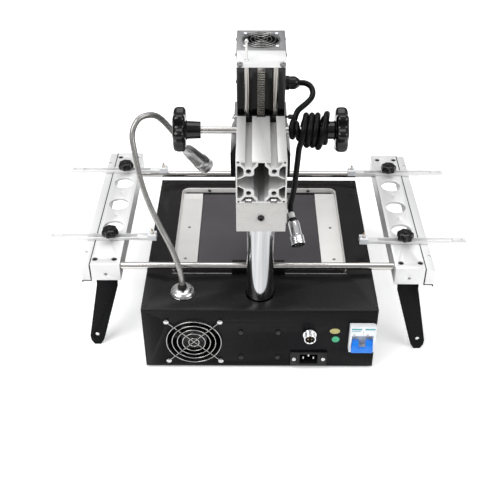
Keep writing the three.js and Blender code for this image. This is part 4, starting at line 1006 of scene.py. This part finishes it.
# ---- lifting head ----
def add_head():
    low, high = span("slide_body")
    mid = middle("slide_body")
    back = low.y + 4
    Shape().box(low.x, high.x, back, high.y, low.z, high.z).done(
        "slide_block", "head", "slide_gloss", 0.5, 2, replaces=("slide_body",))
    guides = Shape()
    for x in (-17.5, 17.5):
        guides.rod(3.9, (mid.x + x, low.y + 3.9, low.z), (mid.x + x, low.y + 3.9, high.z), 48, 0.4)
    guides.done("guide_rods", "head", "guide_steel", slot="chrome")
    refined("rack", "rack_steel", 0.12)
    refined("top_plate", "plate_aluminium", 0.5)
    low, high = span("top_plate")
    plate_top = span("slide_body")[1].z + 8.7
    screws = Shape()
    for x in (-26, 26):
        screws.screw((mid.x + x, low.y, plate_top - 4.2), 3.7, "y", -1, 1.8, "hex")
    screws.done("top_plate_screws", "head", "screw_grey", slot="stainless")
    refined("head_housing", "grey_paint", 0.6, 2)
    refined("heater_hood", "case_black", 0.7, 2)
    refined("upper_emitter", "ceramic", 0.4)
    low, high = span("head_housing")
    rivets = Shape()
    for y in (low.y + 8, high.y - 8):
        for z in (310, 360, 396):
            if abs(z - GLAND.z) > 14 or abs(y - GLAND.y) > 14:
                rivets.screw((31.5, y, z), 2.2, "x", 1, 1.2)
            rivets.screw((-30.5, y, z), 2.2, "x", -1, 1.2)
    rivets.done("housing_screws", "head", "screw_black", slot="black_paint")
    hood_low, hood_high = span("heater_hood")
    screws = Shape()
    for x in (-24, 24):
        screws.screw((mid.x + x, hood_low.y, hood_high.z - 9), 2.4, "y", -1, 1.3)
        screws.screw((mid.x + x, hood_high.y, hood_high.z - 9), 2.4, "y", 1, 1.3)
    screws.done("hood_screws", "head", "screw_black", slot="black_paint")
    stem = [(0, plate_top), (2.6, plate_top), (2.6, plate_top + 0.6), (1.55, plate_top + 1.2),
            (1.5, 428.2), (0, 428.2)]
    pin = Shape().lathe(stem, place=(mid.x - 18, 114.2, 0), sides=24)
    arc = [math.radians(15 * i - 90) for i in range(13)]
    ball = [(2.75 * math.cos(a), 430 + 2.75 * math.sin(a)) for a in arc]
    pin.lathe([(0, ball[0][1]), *ball[1:-1], (0, ball[-1][1])], place=(mid.x - 18, 114.2, 0), sides=32)
    pin.done("ball_pin", "head", "screw_steel", slot="stainless")


# ---- rods, rails, clamps ----
def add_rails():
    for name in ("rod_rear", "rod_front"):
        low, high = span(name)
        c = middle(name)
        r = (high.z - low.z) / 2
        bar = Shape().rod(r, (low.x, c.y, c.z), (high.x, c.y, c.z), 64, 0.8)
        for x, way in ((low.x, -1), (high.x, 1)):
            bar.lathe([(0, 0.02), (1.9, 0.02), (1.9, -0.1), (0, -0.1)], place=(x, c.y, c.z), sides=20,
                      aim=(way, 0, 0))
        bar.done(name + "_bar", "base", "polished_rod", replaces=(name,))
    for name in ("rod_support_rear", "rod_support_front"):
        refined(name, "anodised_black", 0.8, 3)
    for side, out in (("right", -1), ("left", 1)):
        add_rail(side, out)


def add_rail(side, out):
    low, high = span("rail_" + side)
    inner = high.x if out < 0 else low.x
    centre = inner + out * 20.15
    body = "rail_" + side
    holes = [((centre, low.y + y, high.z - 2), (centre, low.y + y, high.z + 1), 1.1) for y in (118.5, 178)]
    spots = [(centre + out * x, y) for x in (15, -11.6) for y in (low.y + 13, high.y - 13)]
    holes += [((x, y, high.z - 3), (x, y, high.z + 1), 4.1) for x, y in spots]
    for y, way in ((low.y, 1), (high.y, -1)):
        holes.append(((centre, y - way, 111), (centre, y + way * 9, 111), 2.3))
    refined("rail_" + side, "rail_aluminium", 0.5, 2, holes=holes)
    refined("leg_" + side, "case_black", 0.5)
    bolts = Shape()
    for x, y in spots:
        bolts.screw((x, y, high.z - 2.2), 3.7, "z", 1, 1.7, "hex")
    for y, way in ((low.y + 8.6, -1), (high.y - 8.6, 1)):
        bolts.screw((centre, y, 111), 2.2, "y", way, 1.5, "hex")
    bolts.done(f"rail_{side}_screws", body, "screw_black", slot="black_paint")
    stops = Shape()
    for y in (low.y + 30, high.y - 30):
        stops.screw((centre + out * 29.9, y, high.z - 1.2), 2.1, "z", 1, 0.8, "hex")
    stops.done(f"rail_{side}_set_screws", body, "screw_steel", slot="stainless")
    # Thin black strips in the groove along the rail and along the lower edges of its end faces are painted
    # shade lines, in the rubber finish.
    shade_lines = Shape()

    def bar(a, b, y0, y1, z0, z1):
        shade_lines.box(*sorted((centre + out * a, centre + out * b)), y0, y1, z0, z1)

    bar(20.3, 21.75, low.y, high.y, 104.3, high.z - 0.8)
    for y0, y1 in ((low.y - 0.25, low.y + 0.2), (high.y - 0.2, high.y + 0.25)):
        bar(20.3, 21.6, y0, y1, 100, high.z - 0.4)
        bar(20.3, 33.4, y0, y1, 99.6, 100.9)
        bar(32.4, 34, y0, y1, 97.4, 100.9)
    shade_lines.done(f"rail_{side}_seal", body, "rubber", slot="rubber")
    for end in ("rear", "front"):
        add_clamp(end, side, out, middle(f"clamp_knob_{end}_{side}").y, centre)


def add_clamp(end, side, out, y, centre):
    bar, knob = f"clamp_bar_{end}_{side}", f"clamp_knob_{end}_{side}"
    refined(bar, "plate_aluminium", 0.35)
    low, high = span(bar)
    inner = high.x if out < 0 else low.x
    top = span(knob)[0].z + 11.3
    tip = [(0, -6.2), (12.3, -6.2), (12.3, 6.2), (0, 6.2), (3.2, 0)]
    outline = [(inner + out * (a - 0.15), y + b) for a, b in tip]
    Shape().prism(outline, "z", low.z - 0.15, low.z + 8.7).done(
        f"clamp_tip_{end}_{side}", bar, "white_plastic", 0.5, slot="white_plastic")
    x = inner + out * 6
    pin = [(0, low.z + 8), (2.6, low.z + 8), (2.6, low.z + 9.2), (1.7, low.z + 9.8), (1.5, low.z + 13.6),
           (1.2, low.z + 14.6), (0.6, low.z + 16.8), (0, low.z + 17)]
    Shape().lathe(pin, place=(x, y, 0), sides=28).done(f"clamp_pin_{end}_{side}", bar, "brass")
    star = [(0, top + 0.1), (6.6, top + 0.1), (7.6, top + 0.8), (8.4, top + 1.6), (10.6, top + 2),
            (11.8, top + 3), (12.2, top + 5), (12.1, top + 8.4), (11.4, top + 10.6), (9.8, top + 12),
            (7.4, top + 12.7), (4.6, top + 12.9), (4.2, top + 12.3), (3.4, top + 12.3), (0, top + 12.3)]
    grip = Shape().lathe(star, place=(centre, y, 0), sides=112, lobes=(7, 2.2, 8.6, 11.6))
    grip.done(f"star_{end}_{side}", knob, "bakelite", replaces=(knob,))
    stud = [(0, 121.6), (2.4, 121.6), (2.4, top + 12.4), (2.9, top + 12.4), (2.9, top + 13.2),
            (2.3, top + 13.8), (0, top + 13.9)]
    Shape().lathe(stud, place=(centre, y, 0), sides=28).done(f"stud_{end}_{side}", knob, "screw_black",
                                                            slot="black_plastic")


# ---- floor and light ----
def add_studio():
    bm = bmesh.new()
    bmesh.ops.create_grid(bm, x_segments=1, y_segments=1, size=6)
    mesh = bpy.data.meshes.new("floor")
    bm.to_mesh(mesh)
    bm.free()
    floor = bpy.data.objects.new("floor", mesh)
    bpy.context.scene.collection.objects.link(floor)
    white = bpy.data.materials.new("floor_white")
    white.use_nodes = True
    shader = white.node_tree.nodes["Principled BSDF"]
    shader.inputs["Base Color"].default_value = (0.93, 0.93, 0.93, 1)
    shader.inputs["Roughness"].default_value = 0.9
    shader.inputs["Specular IOR Level"].default_value = 0.1
    shader.inputs["Emission Color"].default_value = (1, 1, 1, 1)
    shader.inputs["Emission Strength"].default_value = 0.3
    mesh.materials.append(white)

    world = bpy.data.worlds.new("studio")
    bpy.context.scene.world = world
    world.use_nodes = True
    nodes, link = world.node_tree.nodes, world.node_tree.links.new
    coords = nodes.new("ShaderNodeTexCoord")
    split = nodes.new("ShaderNodeSeparateXYZ")
    ramp = nodes.new("ShaderNodeValToRGB")
    link(coords.outputs["Generated"], split.inputs[0])
    link(split.outputs["Z"], ramp.inputs["Fac"])
    link(ramp.outputs["Color"], nodes["Background"].inputs["Color"])
    stops = ramp.color_ramp.elements
    stops[0].position, stops[0].color = 0.0, (0.22, 0.22, 0.225, 1)
    stops[1].position, stops[1].color = 0.75, (0.95, 0.95, 0.96, 1)
    nodes["Background"].inputs["Strength"].default_value = 0.58

    def area(name, place, aim, wide, tall, power):
        lamp = bpy.data.lights.new(name, "AREA")
        lamp.shape, lamp.size, lamp.size_y, lamp.energy = "RECTANGLE", wide, tall, power
        holder = bpy.data.objects.new(name, lamp)
        bpy.context.scene.collection.objects.link(holder)
        holder.location = place
        holder.rotation_euler = (Vector(aim) - Vector(place)).to_track_quat("-Z", "Y").to_euler()

    area("key", (1.1, 0.9, 1.7), (0, 0, 0.15), 1.2, 1.2, 26)
    area("fill", (-1.5, 0.9, 1.3), (0, 0, 0.15), 1.3, 1.1, 14)
    area("top", (0, -0.5, 2.1), (0, 0, 0.1), 1.8, 1.4, 20)
    bpy.context.scene.view_settings.view_transform = "Standard"


add_cable()
add_case()
add_controls()
add_heater_bed()
add_fans()
add_connections()
add_lamp()
add_column()
add_drive()
add_head()
add_rails()
add_studio()
